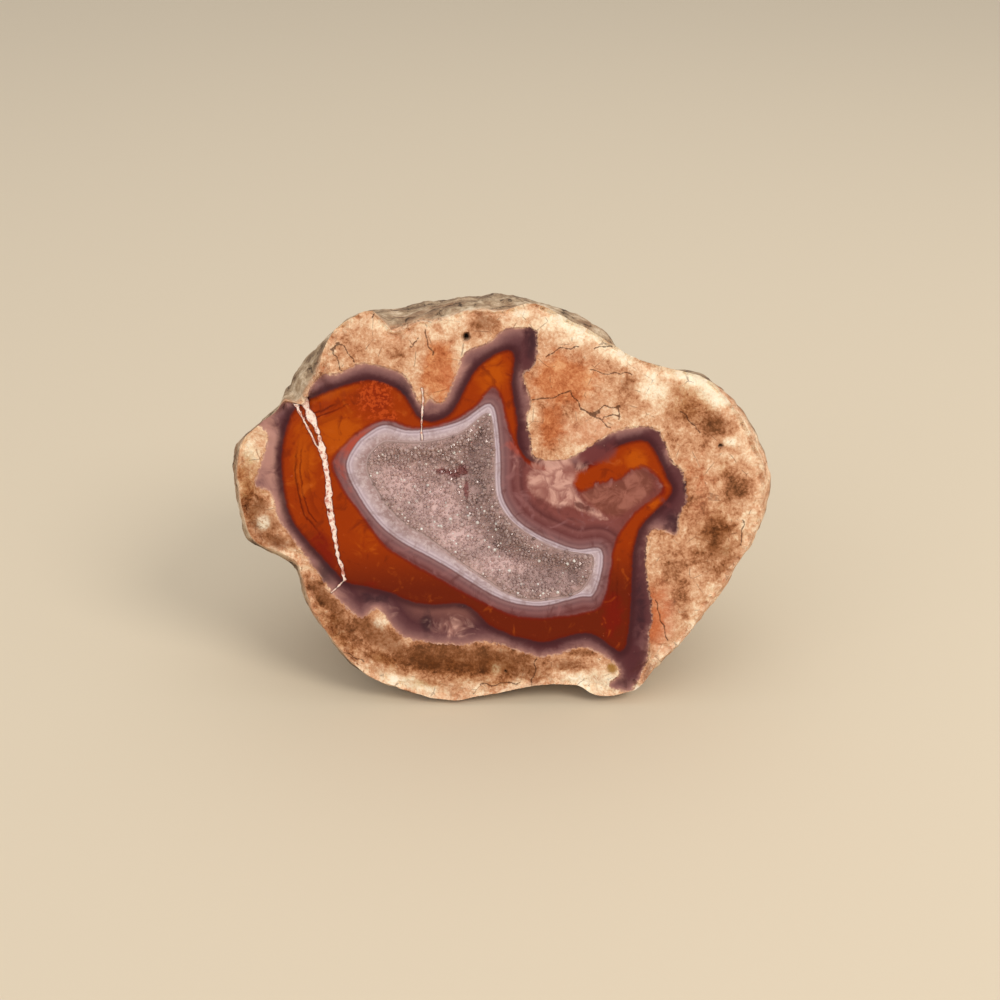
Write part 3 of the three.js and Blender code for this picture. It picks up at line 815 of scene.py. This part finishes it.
# Weathered rhyolite: one lightness value through a ramp, which stains lift and lower.
def makeRhyoliteGroup():
    group, start, end = newGroup("rhyolite", {"Lift": "Float"}, {
        "Color": "Color", "Grains": "Float", "Height": "Float",
    })
    place = millimetrePlace(group)
    cloudy = grainNoise(group, place, 0.13, 3, 0.6, 0.4)
    mottle = grainNoise(group, place, 0.42, 4, 0.6, 0.6)
    grains = grainNoise(group, place, 1.9, 4, 0.7)
    level = plus(group, start["Lift"], 0.55)
    for value, reach in ((cloudy, 0.5), (mottle, 0.62), (grains, 0.5)):
        level = plus(group, level, times(group, minus(group, value, 0.5), reach))
    colour = colourRamp(group, level, [
        (0.16, tone(58, 34, 20)), (0.28, tone(108, 66, 40)), (0.38, tone(160, 104, 70)),
        (0.46, tone(194, 138, 102)), (0.55, tone(214, 164, 128)), (0.64, tone(232, 194, 160)),
        (0.74, tone(246, 222, 190)), (0.85, tone(253, 239, 217)),
    ], 0, 1)

    # hair cracks between blocks a few millimetres wide, broken off here and there
    blockEdge = cellEdges(group, moved(group, place, wander(group, place, 0.22)), 0.17)
    hair = times(group, between(group, blockEdge, 0.02, 0.004), between(group, mottle, 0.48, 0.6))
    colour = blend(group, times(group, hair, 0.55), colour, tone(104, 60, 40))
    group.links.new(colour, end["Color"])
    group.links.new(grains, end["Grains"])
    group.links.new(plus(group, times(group, mottle, 1.3), grains), end["Height"])
    return group


# Colour of the druse, for the crust and the crystals alike, with painted shade under the hollow's rim.
def makeDruseGroup():
    group, start, end = newGroup("druseTint", {"Base": "Color"}, {"Color": "Color"})
    mottle = grainNoise(group, millimetrePlace(group), 0.55, 5, 0.7)
    dark = times(group, between(group, mottle, 0.5, 0.36), 0.4)
    colour = blend(group, dark, start["Base"], tone(126, 98, 90))
    # the grey spots are painted shade, under the hollow's upper left rim and along its narrow right
    # side; the pale spots are the quartz's own colour
    for name, reach, shade in (("paintedDruseShade", 0.45, tone(136, 108, 103)),
                               ("drusePale", 0.75, tone(222, 188, 184))):
        colour = blend(group, times(group, readAttribute(group, name), reach), colour, shade)
    red = plus(group, readAttribute(group, "druseRed"), minus(group, mottle, 0.5))
    colour = blend(group, times(group, between(group, red, 0.3, 0.8), 0.75), colour, tone(126, 44, 44))
    # pale quartz at the rim, then a darker grey ring just inside it that is painted shade under the rim
    band = colourRamp(group, readAttribute(group, "druseRim"), [
        (0.0, tone(160, 130, 125)), (0.35, tone(140, 114, 109)), (0.6, tone(146, 120, 115)),
        (0.85, tone(158, 132, 129)), (1.0, tone(174, 147, 145)),
    ], 0, 1)
    colour = blend(group, between(group, readAttribute(group, "druseRim"), 0.1, 0.6), colour, band)
    group.links.new(colour, end["Color"])
    return group


# Materials

def stainShare(tree, name, ragged, low, high, reach):   # a soft stain with a ragged edge
    value = plus(tree, readAttribute(tree, name), ragged)
    return times(tree, between(tree, value, low, high), reach)


def stained(tree, colour, name, ragged, edges, reach, shade, mode="MIX"):   # with that stain on it
    return blend(tree, stainShare(tree, name, ragged, *edges, reach), colour, shade, mode)


def agateColour(tree, place, warp):
    agate = plus(tree, readAttribute(tree, "agateIn"), warp)
    carnelian = plus(tree, readAttribute(tree, "carnelianIn"), times(tree, warp, 0.6))
    maroon = plus(tree, readAttribute(tree, "maroonIn"), times(tree, warp, 0.6))
    pale = plus(tree, readAttribute(tree, "paleIn"), times(tree, warp, 0.25))
    cloudy = grainNoise(tree, place, 0.3, 3, 0.62, 0.8)
    tangle = times(tree, minus(tree, cloudy, 0.52), readAttribute(tree, "tangled"))
    maroon = plus(tree, maroon, times(tree, tangle, 6.0))
    flecks = grainNoise(tree, place, 1.1, 4, 0.7)
    ragged = times(tree, minus(tree, cloudy, 0.5), 1.3)
    crumbly = times(tree, minus(tree, flecks, 0.5), 1.8)
    height = addNode(tree, "ShaderNodeSeparateXYZ", {0: place}).outputs[2]

    # outer band: lilac on the left, plum on the right, dark violet against the carnelian
    outer = colourRamp(tree, agate, [
        (0.0, tone(176, 128, 110)), (0.4, tone(154, 110, 102)), (1.1, tone(130, 90, 88)),
        (2.2, tone(102, 64, 66)), (3.6, tone(82, 46, 50)), (7.0, tone(122, 78, 72)),
    ], 0, 8)
    outer = stained(tree, outer, "lilac", ragged, (0.2, 0.9), 0.85, tone(184, 136, 124))
    outer = stained(tree, outer, "plum", ragged, (0.15, 0.7), 0.85, tone(84, 42, 46))
    violet = times(tree, between(tree, carnelian, -1.8, -0.3), 0.8)
    outer = blend(tree, violet, outer, tone(64, 28, 32))
    outer = stained(tree, outer, "shadow", ragged, (0.25, 0.85), 0.75, tone(54, 32, 38))
    rim = times(tree, between(tree, agate, 0.55, 0.05), between(tree, flecks, 0.45, 0.6))
    colour = blend(tree, times(tree, rim, 0.7), outer, tone(214, 170, 144))

    # carnelian: clear orange above, dark red below, thin lines where it is banded
    red = blend(tree, between(tree, height, 35, 23), tone(150, 51, 2), tone(104, 31, 8))
    red = stained(tree, red, "glow", ragged, (0.2, 0.9), 0.9, tone(178, 78, 4))
    lines = colourRamp(tree, plus(tree, carnelian, cloudy), [
        (1.0, tone(255, 255, 255)), (3.1, tone(255, 255, 255)), (3.4, tone(150, 120, 110)),
        (3.75, tone(240, 235, 230)), (4.1, tone(255, 255, 255)), (4.4, tone(165, 130, 120)),
        (4.7, tone(255, 255, 255)), (6.0, tone(226, 214, 205)), (6.2, tone(255, 255, 255)),
    ], 0, 12)
    red = stained(tree, red, "lined", ragged, (0.3, 0.8), 0.9, lines, "MULTIPLY")
    red = stained(tree, red, "ember", ragged, (0.3, 0.9), 0.85, tone(116, 22, 8))
    red = blend(tree, times(tree, between(tree, cloudy, 0.56, 0.74), 0.45), red, tone(182, 84, 22))
    red = blend(tree, times(tree, between(tree, cloudy, 0.44, 0.3), 0.5), red, tone(104, 30, 6))
    red = blend(tree, times(tree, between(tree, carnelian, 1.0, 0.1), 0.8), red, tone(100, 24, 6))
    speckled = blend(tree, between(tree, flecks, 0.44, 0.56), tone(128, 34, 6), tone(190, 76, 28))
    red = stained(tree, red, "granular", crumbly, (0.2, 0.7), 0.7, speckled)
    colour = blend(tree, between(tree, carnelian, -0.2, 0.35), colour, red)

    # maroon and mauve around the hollow, with fine stripes
    around = times(tree, pale, -1.0)
    mauve = colourRamp(tree, around, [
        (0.0, tone(110, 76, 80)), (0.35, tone(140, 104, 104)), (0.9, tone(120, 82, 84)),
        (1.5, tone(130, 86, 86)), (2.3, tone(106, 58, 58)), (3.4, tone(124, 74, 72)),
        (4.0, tone(98, 52, 52)), (5.2, tone(126, 70, 66)), (8.5, tone(120, 62, 56)),
    ], 0, 9)
    mauve = blend(tree, times(tree, between(tree, cloudy, 0.52, 0.72), 0.6), mauve, tone(146, 98, 98))
    mauve = blend(tree, times(tree, between(tree, cloudy, 0.46, 0.32), 0.5), mauve, tone(92, 46, 44))
    inMaroon = between(tree, maroon, -0.15, 0.5)
    colour = blend(tree, inMaroon, colour, mauve)
    redLine = times(tree, between(tree, maroon, -0.5, 0.0), between(tree, maroon, 0.5, 0.1))
    colour = blend(tree, times(tree, redLine, 0.55), colour, tone(112, 24, 12))

    # the right pocket: a brownish lobe, a pale pink cloud, a dark crescent, red threads
    lobe = plus(tree, readAttribute(tree, "lobeIn"), times(tree, warp, 1.4))
    lobeColour = blend(tree, between(tree, cloudy, 0.38, 0.66), tone(118, 66, 54), tone(156, 98, 84))
    colour = blend(tree, times(tree, between(tree, lobe, -0.6, 1.2), 0.9), colour, lobeColour)
    marble = blend(tree, between(tree, cloudy, 0.34, 0.6), tone(164, 112, 102), tone(208, 160, 146))
    sway = addNode(tree, "ShaderNodeCombineXYZ", {
        0: times(tree, cloudy, 3.0), 2: times(tree, cloudy, -3.0),
    })
    foldEdge = cellEdges(tree, moved(tree, place, sway.outputs[0]), 0.3)
    fold = times(tree, between(tree, foldEdge, 0.16, 0.0), 0.55)
    marble = blend(tree, fold, marble, tone(132, 76, 70))
    pink = plus(tree, readAttribute(tree, "pinkIn"), times(tree, warp, 1.4))
    colour = blend(tree, times(tree, between(tree, pink, -0.5, 0.8), 0.92), colour, marble)
    colour = stained(tree, colour, "cloud", ragged, (0.25, 0.8), 0.85, marble)
    colour = stained(tree, colour, "plumFold", ragged, (0.3, 0.85), 0.85, tone(112, 56, 56))
    colour = stained(tree, colour, "crescent", ragged, (0.3, 0.8), 0.85, tone(92, 42, 38))
    coral = stainShare(tree, "coral", ragged, 0.2, 0.9, 0.9)
    coral = times(tree, coral, between(tree, maroon, -0.3, 0.9))
    colour = blend(tree, coral, colour, tone(170, 74, 56))

    # the pale band at the hollow's rim
    paleColour = colourRamp(tree, pale, [
        (0.0, tone(128, 98, 102)), (0.3, tone(194, 176, 184)), (0.55, tone(163, 142, 151)),
        (0.85, tone(200, 182, 190)), (1.2, tone(181, 160, 167)), (1.7, tone(186, 164, 167)),
        (2.6, tone(168, 140, 139)),
    ], 0, 3)
    dull = times(tree, between(tree, cloudy, 0.5, 0.36), 0.5)
    paleColour = blend(tree, dull, paleColour, tone(140, 112, 110))
    frost = times(tree, between(tree, flecks, 0.46, 0.62), between(tree, pale, 0.2, 1.6))
    paleColour = blend(tree, times(tree, frost, 0.4), paleColour, tone(222, 206, 208))
    colour = blend(tree, between(tree, pale, -0.12, 0.12), colour, paleColour)
    pits = times(tree, between(tree, flecks, 0.3, 0.25), inMaroon)
    colour = blend(tree, times(tree, pits, 0.8), colour, tone(96, 62, 60))
    dust = times(tree, between(tree, flecks, 0.7, 0.76), 0.4)
    return blend(tree, dust, colour, tone(216, 176, 156)), agate


def matrixColour(tree, place, rhyoliteGroup):
    patchy = times(tree, minus(tree, grainNoise(tree, place, 0.4, 4, 0.7), 0.5), 0.9)
    lift = times(tree, stainShare(tree, "cream", patchy, 0.15, 0.8, 1.0), 0.19)
    edge = plus(tree, readAttribute(tree, "rimIn"), times(tree, patchy, 6.0))
    lift = plus(tree, lift, times(tree, between(tree, edge, 4.5, 0.5), 0.07))
    for name, depth in (("brown", 0.15), ("olive", 0.07)):
        lift = minus(tree, lift, times(tree, stainShare(tree, name, patchy, 0.1, 0.75, 1.0), depth))
    rock = useGroup(tree, rhyoliteGroup, "Lift", lift)
    grains = rock["Grains"]
    colour = stained(tree, rock["Color"], "brown", patchy, (0.3, 1.0), 0.55, tone(122, 74, 42))
    creamHeart = stainShare(tree, "cream", patchy, 0.55, 1.1, 0.7)
    crumbs = times(tree, creamHeart, between(tree, grains, 0.36, 0.54))
    colour = blend(tree, crumbs, colour, tone(252, 238, 214))
    colour = stained(tree, colour, "salmon", patchy, (0.15, 0.8), 0.55, tone(214, 144, 112))
    colour = stained(tree, colour, "redBrown", patchy, (0.2, 0.7), 0.95, tone(230, 182, 148), "MULTIPLY")
    colour = stained(tree, colour, "olive", patchy, (0.2, 0.8), 0.8, tone(205, 182, 140), "MULTIPLY")
    colour = stained(tree, colour, "lichen", patchy, (0.35, 0.7), 0.85, tone(150, 104, 30))
    broken = times(tree, minus(tree, grains, 0.5), 0.5)
    crack = plus(tree, readAttribute(tree, "crackOut"), broken)
    colour = blend(tree, times(tree, between(tree, crack, 0.19, 0.02), 0.8), colour, tone(78, 46, 31))
    return colour, rock["Height"]


def makeFaceMaterial(rhyoliteGroup):
    material, tree, shader = newMaterial("sawnAgateFace")
    place = millimetrePlace(tree)
    broad = minus(tree, grainNoise(tree, place, 0.28, 2, 0.5), 0.5)
    fine = minus(tree, grainNoise(tree, place, 1.3, 4, 0.68), 0.5)
    warp = plus(tree, times(tree, broad, 0.9), times(tree, fine, 0.9))
    edgeWarp = times(tree, fine, 0.8)
    agate, agateDepth = agateColour(tree, place, warp)
    rock, rockHeight = matrixColour(tree, place, rhyoliteGroup)
    inAgate = between(tree, plus(tree, agateDepth, edgeWarp), -0.12, 0.12)
    colour = blend(tree, inAgate, rock, agate)

    # veins of pale quartz, ragged, with a dark line beside them
    vein = plus(tree, readAttribute(tree, "veinOut"), times(tree, fine, 0.8))
    veinColour = blend(tree, between(tree, fine, -0.14, 0.04), tone(196, 128, 112), tone(246, 226, 212))
    colour = blend(tree, times(tree, between(tree, vein, 0.32, 0.06), 0.6), colour, tone(66, 24, 18))
    colour = blend(tree, between(tree, vein, 0.08, -0.08), colour, veinColour)
    # the pits are painted near black: painted shade in their hollows
    colour = blend(tree, readAttribute(tree, "pitShadeMask"), colour, tone(24, 14, 12))

    polished = times(tree, inAgate, between(tree, vein, 0.0, 0.15))
    roughness = addNode(tree, "ShaderNodeMapRange", {0: polished, 3: 0.7, 4: 0.36}).outputs[0]
    flatness = between(tree, readAttribute(tree, "agateIn"), -0.2, 0.2)
    height = times(tree, rockHeight, minus(tree, 1.0, times(tree, flatness, 0.97)))
    crackDip = between(tree, readAttribute(tree, "crackOut"), 0.0, 0.25)
    height = plus(tree, height, times(tree, crackDip, 0.4))
    finishSurface(tree, shader, colour, roughen(tree, height, 0.6, 0.0004))
    tree.links.new(roughness, shader.inputs["Roughness"])
    shader.inputs["Specular IOR Level"].default_value = 0.07
    return material


def makeRindMaterial(grainGroup, rhyoliteGroup):
    material, tree, shader = newMaterial("weatheredRind")
    place = millimetrePlace(tree)
    grain = useGroup(tree, grainGroup, "Size", 0.8)
    near = useGroup(tree, rhyoliteGroup, "Lift", 0.03)["Color"]
    crag = grainNoise(tree, place, 0.24, 5, 0.66)
    weathered = colourRamp(tree, plus(tree, crag, times(tree, grain["Height"], 0.35)), [
        (0.5, tone(98, 78, 60)), (0.6, tone(138, 112, 88)), (0.68, tone(164, 138, 110)),
        (0.76, tone(192, 168, 140)), (0.86, tone(222, 202, 176)),
    ], 0, 1)
    rust = grainNoise(tree, place, 0.08, 3, 0.6)
    rusty = times(tree, between(tree, rust, 0.5, 0.68), 0.4)
    weathered = blend(tree, rusty, weathered, tone(156, 108, 74))

    # crevices between the blocks of the skin
    sway = scaled(tree, wander(tree, place, 0.3), 5.0)
    blockEdge = cellEdges(tree, moved(tree, place, sway), 0.2)
    crevice = times(tree, between(tree, blockEdge, 0.05, 0.005), between(tree, crag, 0.52, 0.42))
    weathered = blend(tree, times(tree, crevice, 0.7), weathered, tone(58, 44, 34))
    across = addNode(tree, "ShaderNodeSeparateXYZ", {0: place}).outputs[0]
    creamSide = times(tree, between(tree, across, 18, 36), 3.5)
    back = minus(tree, readAttribute(tree, "behindFace"), creamSide)
    back = plus(tree, back, times(tree, crag, 5.0))
    colour = blend(tree, between(tree, back, 2.3, 5.0), near, weathered)
    colour = blend(tree, times(tree, grain["Specks"], 0.4), colour, tone(46, 36, 30))
    height = minus(tree, times(tree, crag, 1.6), times(tree, crevice, 0.4))
    finishSurface(tree, shader, colour, roughen(tree, height, 0.8, 0.0012))
    shader.inputs["Roughness"].default_value = 0.9
    shader.inputs["Specular IOR Level"].default_value = 0.3
    return material


def makeCrustMaterial(grainGroup, tintGroup):
    material, tree, shader = newMaterial("druseCrust")
    grain = useGroup(tree, grainGroup, "Size", 1.4)
    base = blend(tree, grain["Mottle"], tone(148, 117, 112), tone(184, 151, 147))
    colour = useGroup(tree, tintGroup, "Base", base)["Color"]
    colour = blend(tree, times(tree, grain["Specks"], 0.4), colour, tone(70, 48, 44))
    finishSurface(tree, shader, colour, roughen(tree, grain["Height"], 0.6, 0.0003))
    shader.inputs["Roughness"].default_value = 0.5
    return material


def makeCrystalMaterial(tintGroup):
    material, tree, shader = newMaterial("druseCrystal")
    chance = readAttribute(tree, "crystalToneAndGlint")
    base = colourRamp(tree, chance, [
        (0.0, tone(174, 142, 137)), (0.45, tone(192, 161, 156)), (0.8, tone(208, 180, 174)),
        (0.88, tone(222, 198, 192)),
    ], 0, 1)
    colour = useGroup(tree, tintGroup, "Base", base)["Color"]
    # the few crystals drawn above 0.9 turn near white: painted glints, as of facets catching the lamp
    colour = blend(tree, between(tree, chance, 0.9, 0.93), colour, tone(255, 250, 244))
    tree.links.new(colour, shader.inputs["Base Color"])
    shader.inputs["Roughness"].default_value = 0.12
    shader.inputs["IOR"].default_value = 1.544
    shader.inputs["Transmission Weight"].default_value = 0.25
    return material


# The stone

def makeStone(materials):
    points, polygons, kinds = stoneMesh()
    world = standUp(points)
    low, high = (np.array(corner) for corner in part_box("geode_stone"))
    world = np.clip(world, low, high)
    piece = newPiece("agateStone", world, polygons)
    mesh = piece.data
    for material in materials:
        mesh.materials.append(material)
    mesh.polygons.foreach_set("material_index", np.array(kinds, dtype=np.int32))
    mesh.polygons.foreach_set("use_smooth", np.ones(len(kinds), dtype=bool))
    mesh.set_sharp_from_angle(angle=math.radians(38))
    paintDistances(mesh, points)
    layOutSurface(mesh, points, kinds)
    print("stone:", len(points), "points", len(polygons), "faces")
    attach(piece, "root")
    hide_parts("geode_stone")
    return piece


# The druse: a crust over the hollow's floor and crystals standing on it

druse = {
    "gap": 0.35,
    "thickness": 1.3,
    "belowFace": 0.04,
    "lumpHeight": 0.5,
    "ringShares": 45,
    "narrowRim": 0.3,           # smooth quartz between the hollow's edge and the first crystals
    "broadRim": 0.6,
    "crystalRadius": 0.42,
    "crystalSpacing": 0.46,
    "crystalDensity": 5.4,      # a square millimetre
    "crystalLean": 0.45,
    # spots: across, up, half width, half height; the grey ones are painted shade under the hollow's rim
    # and along its right side, the others are stains
    "spots": {
        "drusePale": [(-12.5, -1, 5, 5.5), (-20, 4, 5, 4.5), (0, -14, 9, 2), (-9, -8, 6, 3)],
        "druseRed": [
            (-8.2, 5.6, 1.5, 1.4), (-9.8, 4.6, 1.8, 1.1), (-7.4, 1.6, 0.6, 2.8), (-12, 5.2, 2, 0.8),
        ],
        "paintedDruseShade": [(-4, 8, 2.5, 9), (0, -7, 4, 3), (9, -13, 7, 3), (-20, 8.5, 3.5, 1.4)],
    },
}


def crustMesh():
    shares = 1 - np.linspace(0, 1, druse["ringShares"] + 1)[:-1] ** 1.2
    rings = hollowRings(shares)
    count = hollow["aroundSteps"]
    flat = np.concatenate(rings + [np.array([hollow["middle"]])])
    floor = hollowFloor(flat)
    floor[:count] = 0
    lumps = np.array([
        noise.fractal(Vector((x, y, 3.0)) / 3.2, 0.8, 2.2, 4)
        + 0.4 * noise.noise(Vector((x, y, 9.0)) / 1.1)
        for x, y in flat
    ])
    inward = lineDistance(flat, hollowRim, closed=True)
    rise = druse["lumpHeight"] * lumps * smoothStep(inward, 1.2, 3.0)
    top = np.minimum(floor + druse["gap"] + druse["thickness"] + rise, -druse["belowFace"])
    low = np.minimum(floor + druse["gap"], -druse["belowFace"] - 0.05)
    topPoints = np.column_stack([flat, top])
    lowPoints = np.column_stack([flat, low])
    polygons = closedBowl(0, len(shares), count)
    under = [tuple(len(flat) + k for k in corners[::-1]) for corners in polygons]
    side = [(i + len(flat), (i + 1) % count + len(flat), (i + 1) % count, i) for i in range(count)]
    return np.concatenate([topPoints, lowPoints]), polygons + under + side, len(polygons), inward


def joinedParts(tree, parts):
    node = addNode(tree, "GeometryNodeJoinGeometry")
    for part in parts:
        tree.links.new(part, node.inputs[0])
    return node.outputs[0]


def crystalNodes(crystalMaterial, crustMaterial):
    tree = bpy.data.node_groups.new("crystalScatter", "GeometryNodeTree")
    tree.interface.new_socket("Geometry", in_out="INPUT", socket_type="NodeSocketGeometry")
    tree.interface.new_socket("Geometry", in_out="OUTPUT", socket_type="NodeSocketGeometry")
    names = {}
    for name, kind, value in (("Spacing", "NodeSocketFloat", 1.0), ("Density", "NodeSocketFloat", 1.0),
                              ("Radius", "NodeSocketFloat", 1.0), ("Lean", "NodeSocketFloat", 0.3),
                              ("Seed", "NodeSocketInt", 1)):
        socket = tree.interface.new_socket(name, in_out="INPUT", socket_type=kind)
        socket.default_value = value
        names[name] = socket.identifier
    start = addNode(tree, "NodeGroupInput").outputs
    end = addNode(tree, "NodeGroupOutput")

    mask = addNode(tree, "GeometryNodeInputNamedAttribute", {"Name": "crystalMask"}, data_type="FLOAT")
    spread = addNode(tree, "GeometryNodeDistributePointsOnFaces", {
        "Mesh": start["Geometry"], "Distance Min": start["Spacing"], "Density Max": start["Density"],
        "Density Factor": mask.outputs[0], "Seed": start["Seed"],
    }, distribute_method="POISSON")

    # one crystal: a six-sided stub with a six-sided point
    stub = addNode(tree, "GeometryNodeMeshCylinder", {
        "Vertices": 6, "Radius": 1.0, "Depth": 1.0,
    }, fill_type="NONE")
    tip = addNode(tree, "GeometryNodeMeshCone", {
        "Vertices": 6, "Radius Top": 0.0, "Radius Bottom": 1.0, "Depth": 1.1,
    }, fill_type="NONE")
    raised = addNode(tree, "GeometryNodeTransform", {
        "Geometry": tip.outputs[0], "Translation": (0, 0, 0.5),
    })
    disc = addNode(tree, "GeometryNodeMeshCircle", {"Vertices": 6, "Radius": 1.0}, fill_type="NGON")
    flipped = addNode(tree, "GeometryNodeFlipFaces", {"Mesh": disc.outputs[0]}).outputs[0]
    foot = addNode(tree, "GeometryNodeTransform", {"Geometry": flipped, "Translation": (0, 0, -0.5)})
    joined = joinedParts(tree, [stub.outputs[0], raised.outputs[0], foot.outputs[0]])
    crystal = addNode(tree, "GeometryNodeMergeByDistance", {"Geometry": joined, "Distance": 0.001})

    lean = addNode(tree, "FunctionNodeRandomValue", {
        0: (-1, -1, -1), 1: (1, 1, 1), "Seed": 11,
    }, data_type="FLOAT_VECTOR").outputs[0]
    aim = moved(tree, spread.outputs["Normal"], scaled(tree, lean, start["Lean"]))
    turned = addNode(tree, "FunctionNodeAlignRotationToVector", {"Vector": aim}, axis="Z")
    spin = addNode(tree, "FunctionNodeRandomValue", {2: 0.0, 3: 6.283, "Seed": 17}, data_type="FLOAT")
    spun = addNode(tree, "FunctionNodeAxisAngleToRotation", {
        "Axis": (0, 0, 1), "Angle": spin.outputs[1],
    })
    rotated = addNode(tree, "FunctionNodeRotateRotation", {
        0: turned.outputs[0], 1: spun.outputs[0],
    }, rotation_space="LOCAL")
    big = addNode(tree, "FunctionNodeRandomValue", {2: 0.0, 3: 1.0, "Seed": 29}, data_type="FLOAT")
    chance = addNode(tree, "FunctionNodeRandomValue", {2: 0.0, 3: 1.0, "Seed": 41}, data_type="FLOAT")
    skewed = plus(tree, times(tree, calc(tree, "POWER", big.outputs[1], 2.0), 0.7), 0.5)
    # the crystals that get the painted glint are drawn smaller
    trimmed = minus(tree, skewed, times(tree, between(tree, chance.outputs[1], 0.86, 0.9), 0.28))
    size = times(tree, trimmed, start["Radius"])
    placed = addNode(tree, "GeometryNodeInstanceOnPoints", {
        "Points": spread.outputs["Points"], "Instance": crystal.outputs[0],
        "Rotation": rotated.outputs[0], "Scale": size,
    })
    marked = addNode(tree, "GeometryNodeStoreNamedAttribute", {
        "Geometry": placed.outputs[0], "Name": "crystalToneAndGlint", "Value": chance.outputs[1],
    }, data_type="FLOAT", domain="INSTANCE")
    real = addNode(tree, "GeometryNodeRealizeInstances", {"Geometry": marked.outputs[0]})
    dressed = [
        addNode(tree, "GeometryNodeSetMaterial", {"Geometry": shape, "Material": material}).outputs[0]
        for shape, material in ((start["Geometry"], crustMaterial), (real.outputs[0], crystalMaterial))
    ]
    tree.links.new(joinedParts(tree, dressed), end.inputs[0])
    return tree, names


def makeDruse(crustMaterial, crystalMaterial):
    points, polygons, topCount, inward = crustMesh()
    bed = newPiece("druseBed", standUp(points), polygons)
    flat = points[:len(inward), :2]
    smoothSide = np.maximum(smoothStep(-flat[:, 0], 4, 15), smoothStep(-flat[:, 1], 12, 17))
    smoothRim = druse["narrowRim"] + (druse["broadRim"] - druse["narrowRim"]) * smoothSide
    sway = np.array([noise.noise(Vector((x, y, 1.0)) * 0.7) for x, y in flat])
    share = inward / smoothRim + 0.25 * sway
    mask = np.zeros(len(points))
    mask[:len(inward)] = smoothStep(share, 0.75, 1.15)
    setAttribute(bed.data, "crystalMask", mask)
    for attribute, spots in druse["spots"].items():
        total = np.zeros(len(points))
        for across, up, halfWidth, halfHeight in spots:
            away = ((points[:, 0] - across) / halfWidth) ** 2 + ((points[:, 1] - up) / halfHeight) ** 2
            total = np.maximum(total, np.exp(-away))
        setAttribute(bed.data, attribute, total)
    setAttribute(bed.data, "druseRim", np.tile(1 - smoothStep(share, 0.5, 1.3), 2))
    bed.data.polygons.foreach_set("use_smooth", np.ones(len(polygons), dtype=bool))
    tree, names = crystalNodes(crystalMaterial, crustMaterial)
    scatter = bed.modifiers.new("crystals", "NODES")
    scatter.node_group = tree
    scatter[names["Spacing"]] = druse["crystalSpacing"] * mm
    scatter[names["Density"]] = druse["crystalDensity"] / mm**2
    scatter[names["Radius"]] = druse["crystalRadius"] * mm
    scatter[names["Lean"]] = druse["crystalLean"]
    scatter[names["Seed"]] = 4
    ready = bed.evaluated_get(bpy.context.evaluated_depsgraph_get())
    mesh = bpy.data.meshes.new_from_object(ready)
    mesh.name = "quartzDruse"
    bpy.data.objects.remove(bed)
    piece = bpy.data.objects.new("quartzDruse", mesh)
    bpy.context.scene.collection.objects.link(piece)
    print("druse:", len(mesh.vertices), "points", len(mesh.polygons), "faces")
    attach(piece, "root")
    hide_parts("quartz_druse")
    return piece


# Floor and light

studio = {
    "floorSize": 3.0,
    "floorTone": (212, 198, 175),
    "roomColour": (1.0, 0.97, 0.93, 1),
    "roomStrength": 0.74,
    "aimHeight": 0.04,
    "lights": [
        # name, place, aimed at the stone, size, power, colour
        ("key", (0.5, -0.5, 0.7), 0.4, 3.9, (1.0, 0.95, 0.87)),
        ("fill", (-0.6, -0.7, 0.5), 0.9, 1.6, (0.97, 0.98, 1.0)),
        ("top", (0.1, 0.3, 0.9), 0.9, 1.1, (1.0, 0.98, 0.95)),
    ],
}


def makeStudio():
    half = studio["floorSize"] / 2
    corners = np.array([(-half, -half, 0), (half, -half, 0), (half, half, 0), (-half, half, 0)])
    floor = newPiece("floor", corners, [(0, 1, 2, 3)])
    material, tree, shader = newMaterial("paleFloor")
    shader.inputs["Base Color"].default_value = tone(*studio["floorTone"])
    shader.inputs["Roughness"].default_value = 0.8
    floor.data.materials.append(material)
    for name, place, size, power, shade in studio["lights"]:
        lamp = bpy.data.lights.new(name, "AREA")
        lamp.shape = "DISK"
        lamp.size = size
        lamp.energy = power
        lamp.color = shade
        holder = bpy.data.objects.new(name, lamp)
        holder.location = place
        aim = Vector((0, 0, studio["aimHeight"])) - Vector(place)
        holder.rotation_euler = aim.to_track_quat("-Z", "Y").to_euler()
        bpy.context.scene.collection.objects.link(holder)
    world = bpy.data.worlds.new("softRoom")
    world.use_nodes = True
    room = world.node_tree.nodes["Background"].inputs
    room[0].default_value = studio["roomColour"]
    room[1].default_value = studio["roomStrength"]
    bpy.context.scene.world = world
    bpy.context.scene.view_settings.view_transform = "Standard"


makeCamera()
print("camera placed")
grainGroup = makeGrainGroup()
rhyoliteGroup = makeRhyoliteGroup()
druseGroup = makeDruseGroup()
faceMaterial = makeFaceMaterial(rhyoliteGroup)
rindMaterial = makeRindMaterial(grainGroup, rhyoliteGroup)
crustMaterial = makeCrustMaterial(grainGroup, druseGroup)
makeStone([faceMaterial, rindMaterial, crustMaterial])
makeDruse(crustMaterial, makeCrystalMaterial(druseGroup))
makeStudio()
print("studio set")
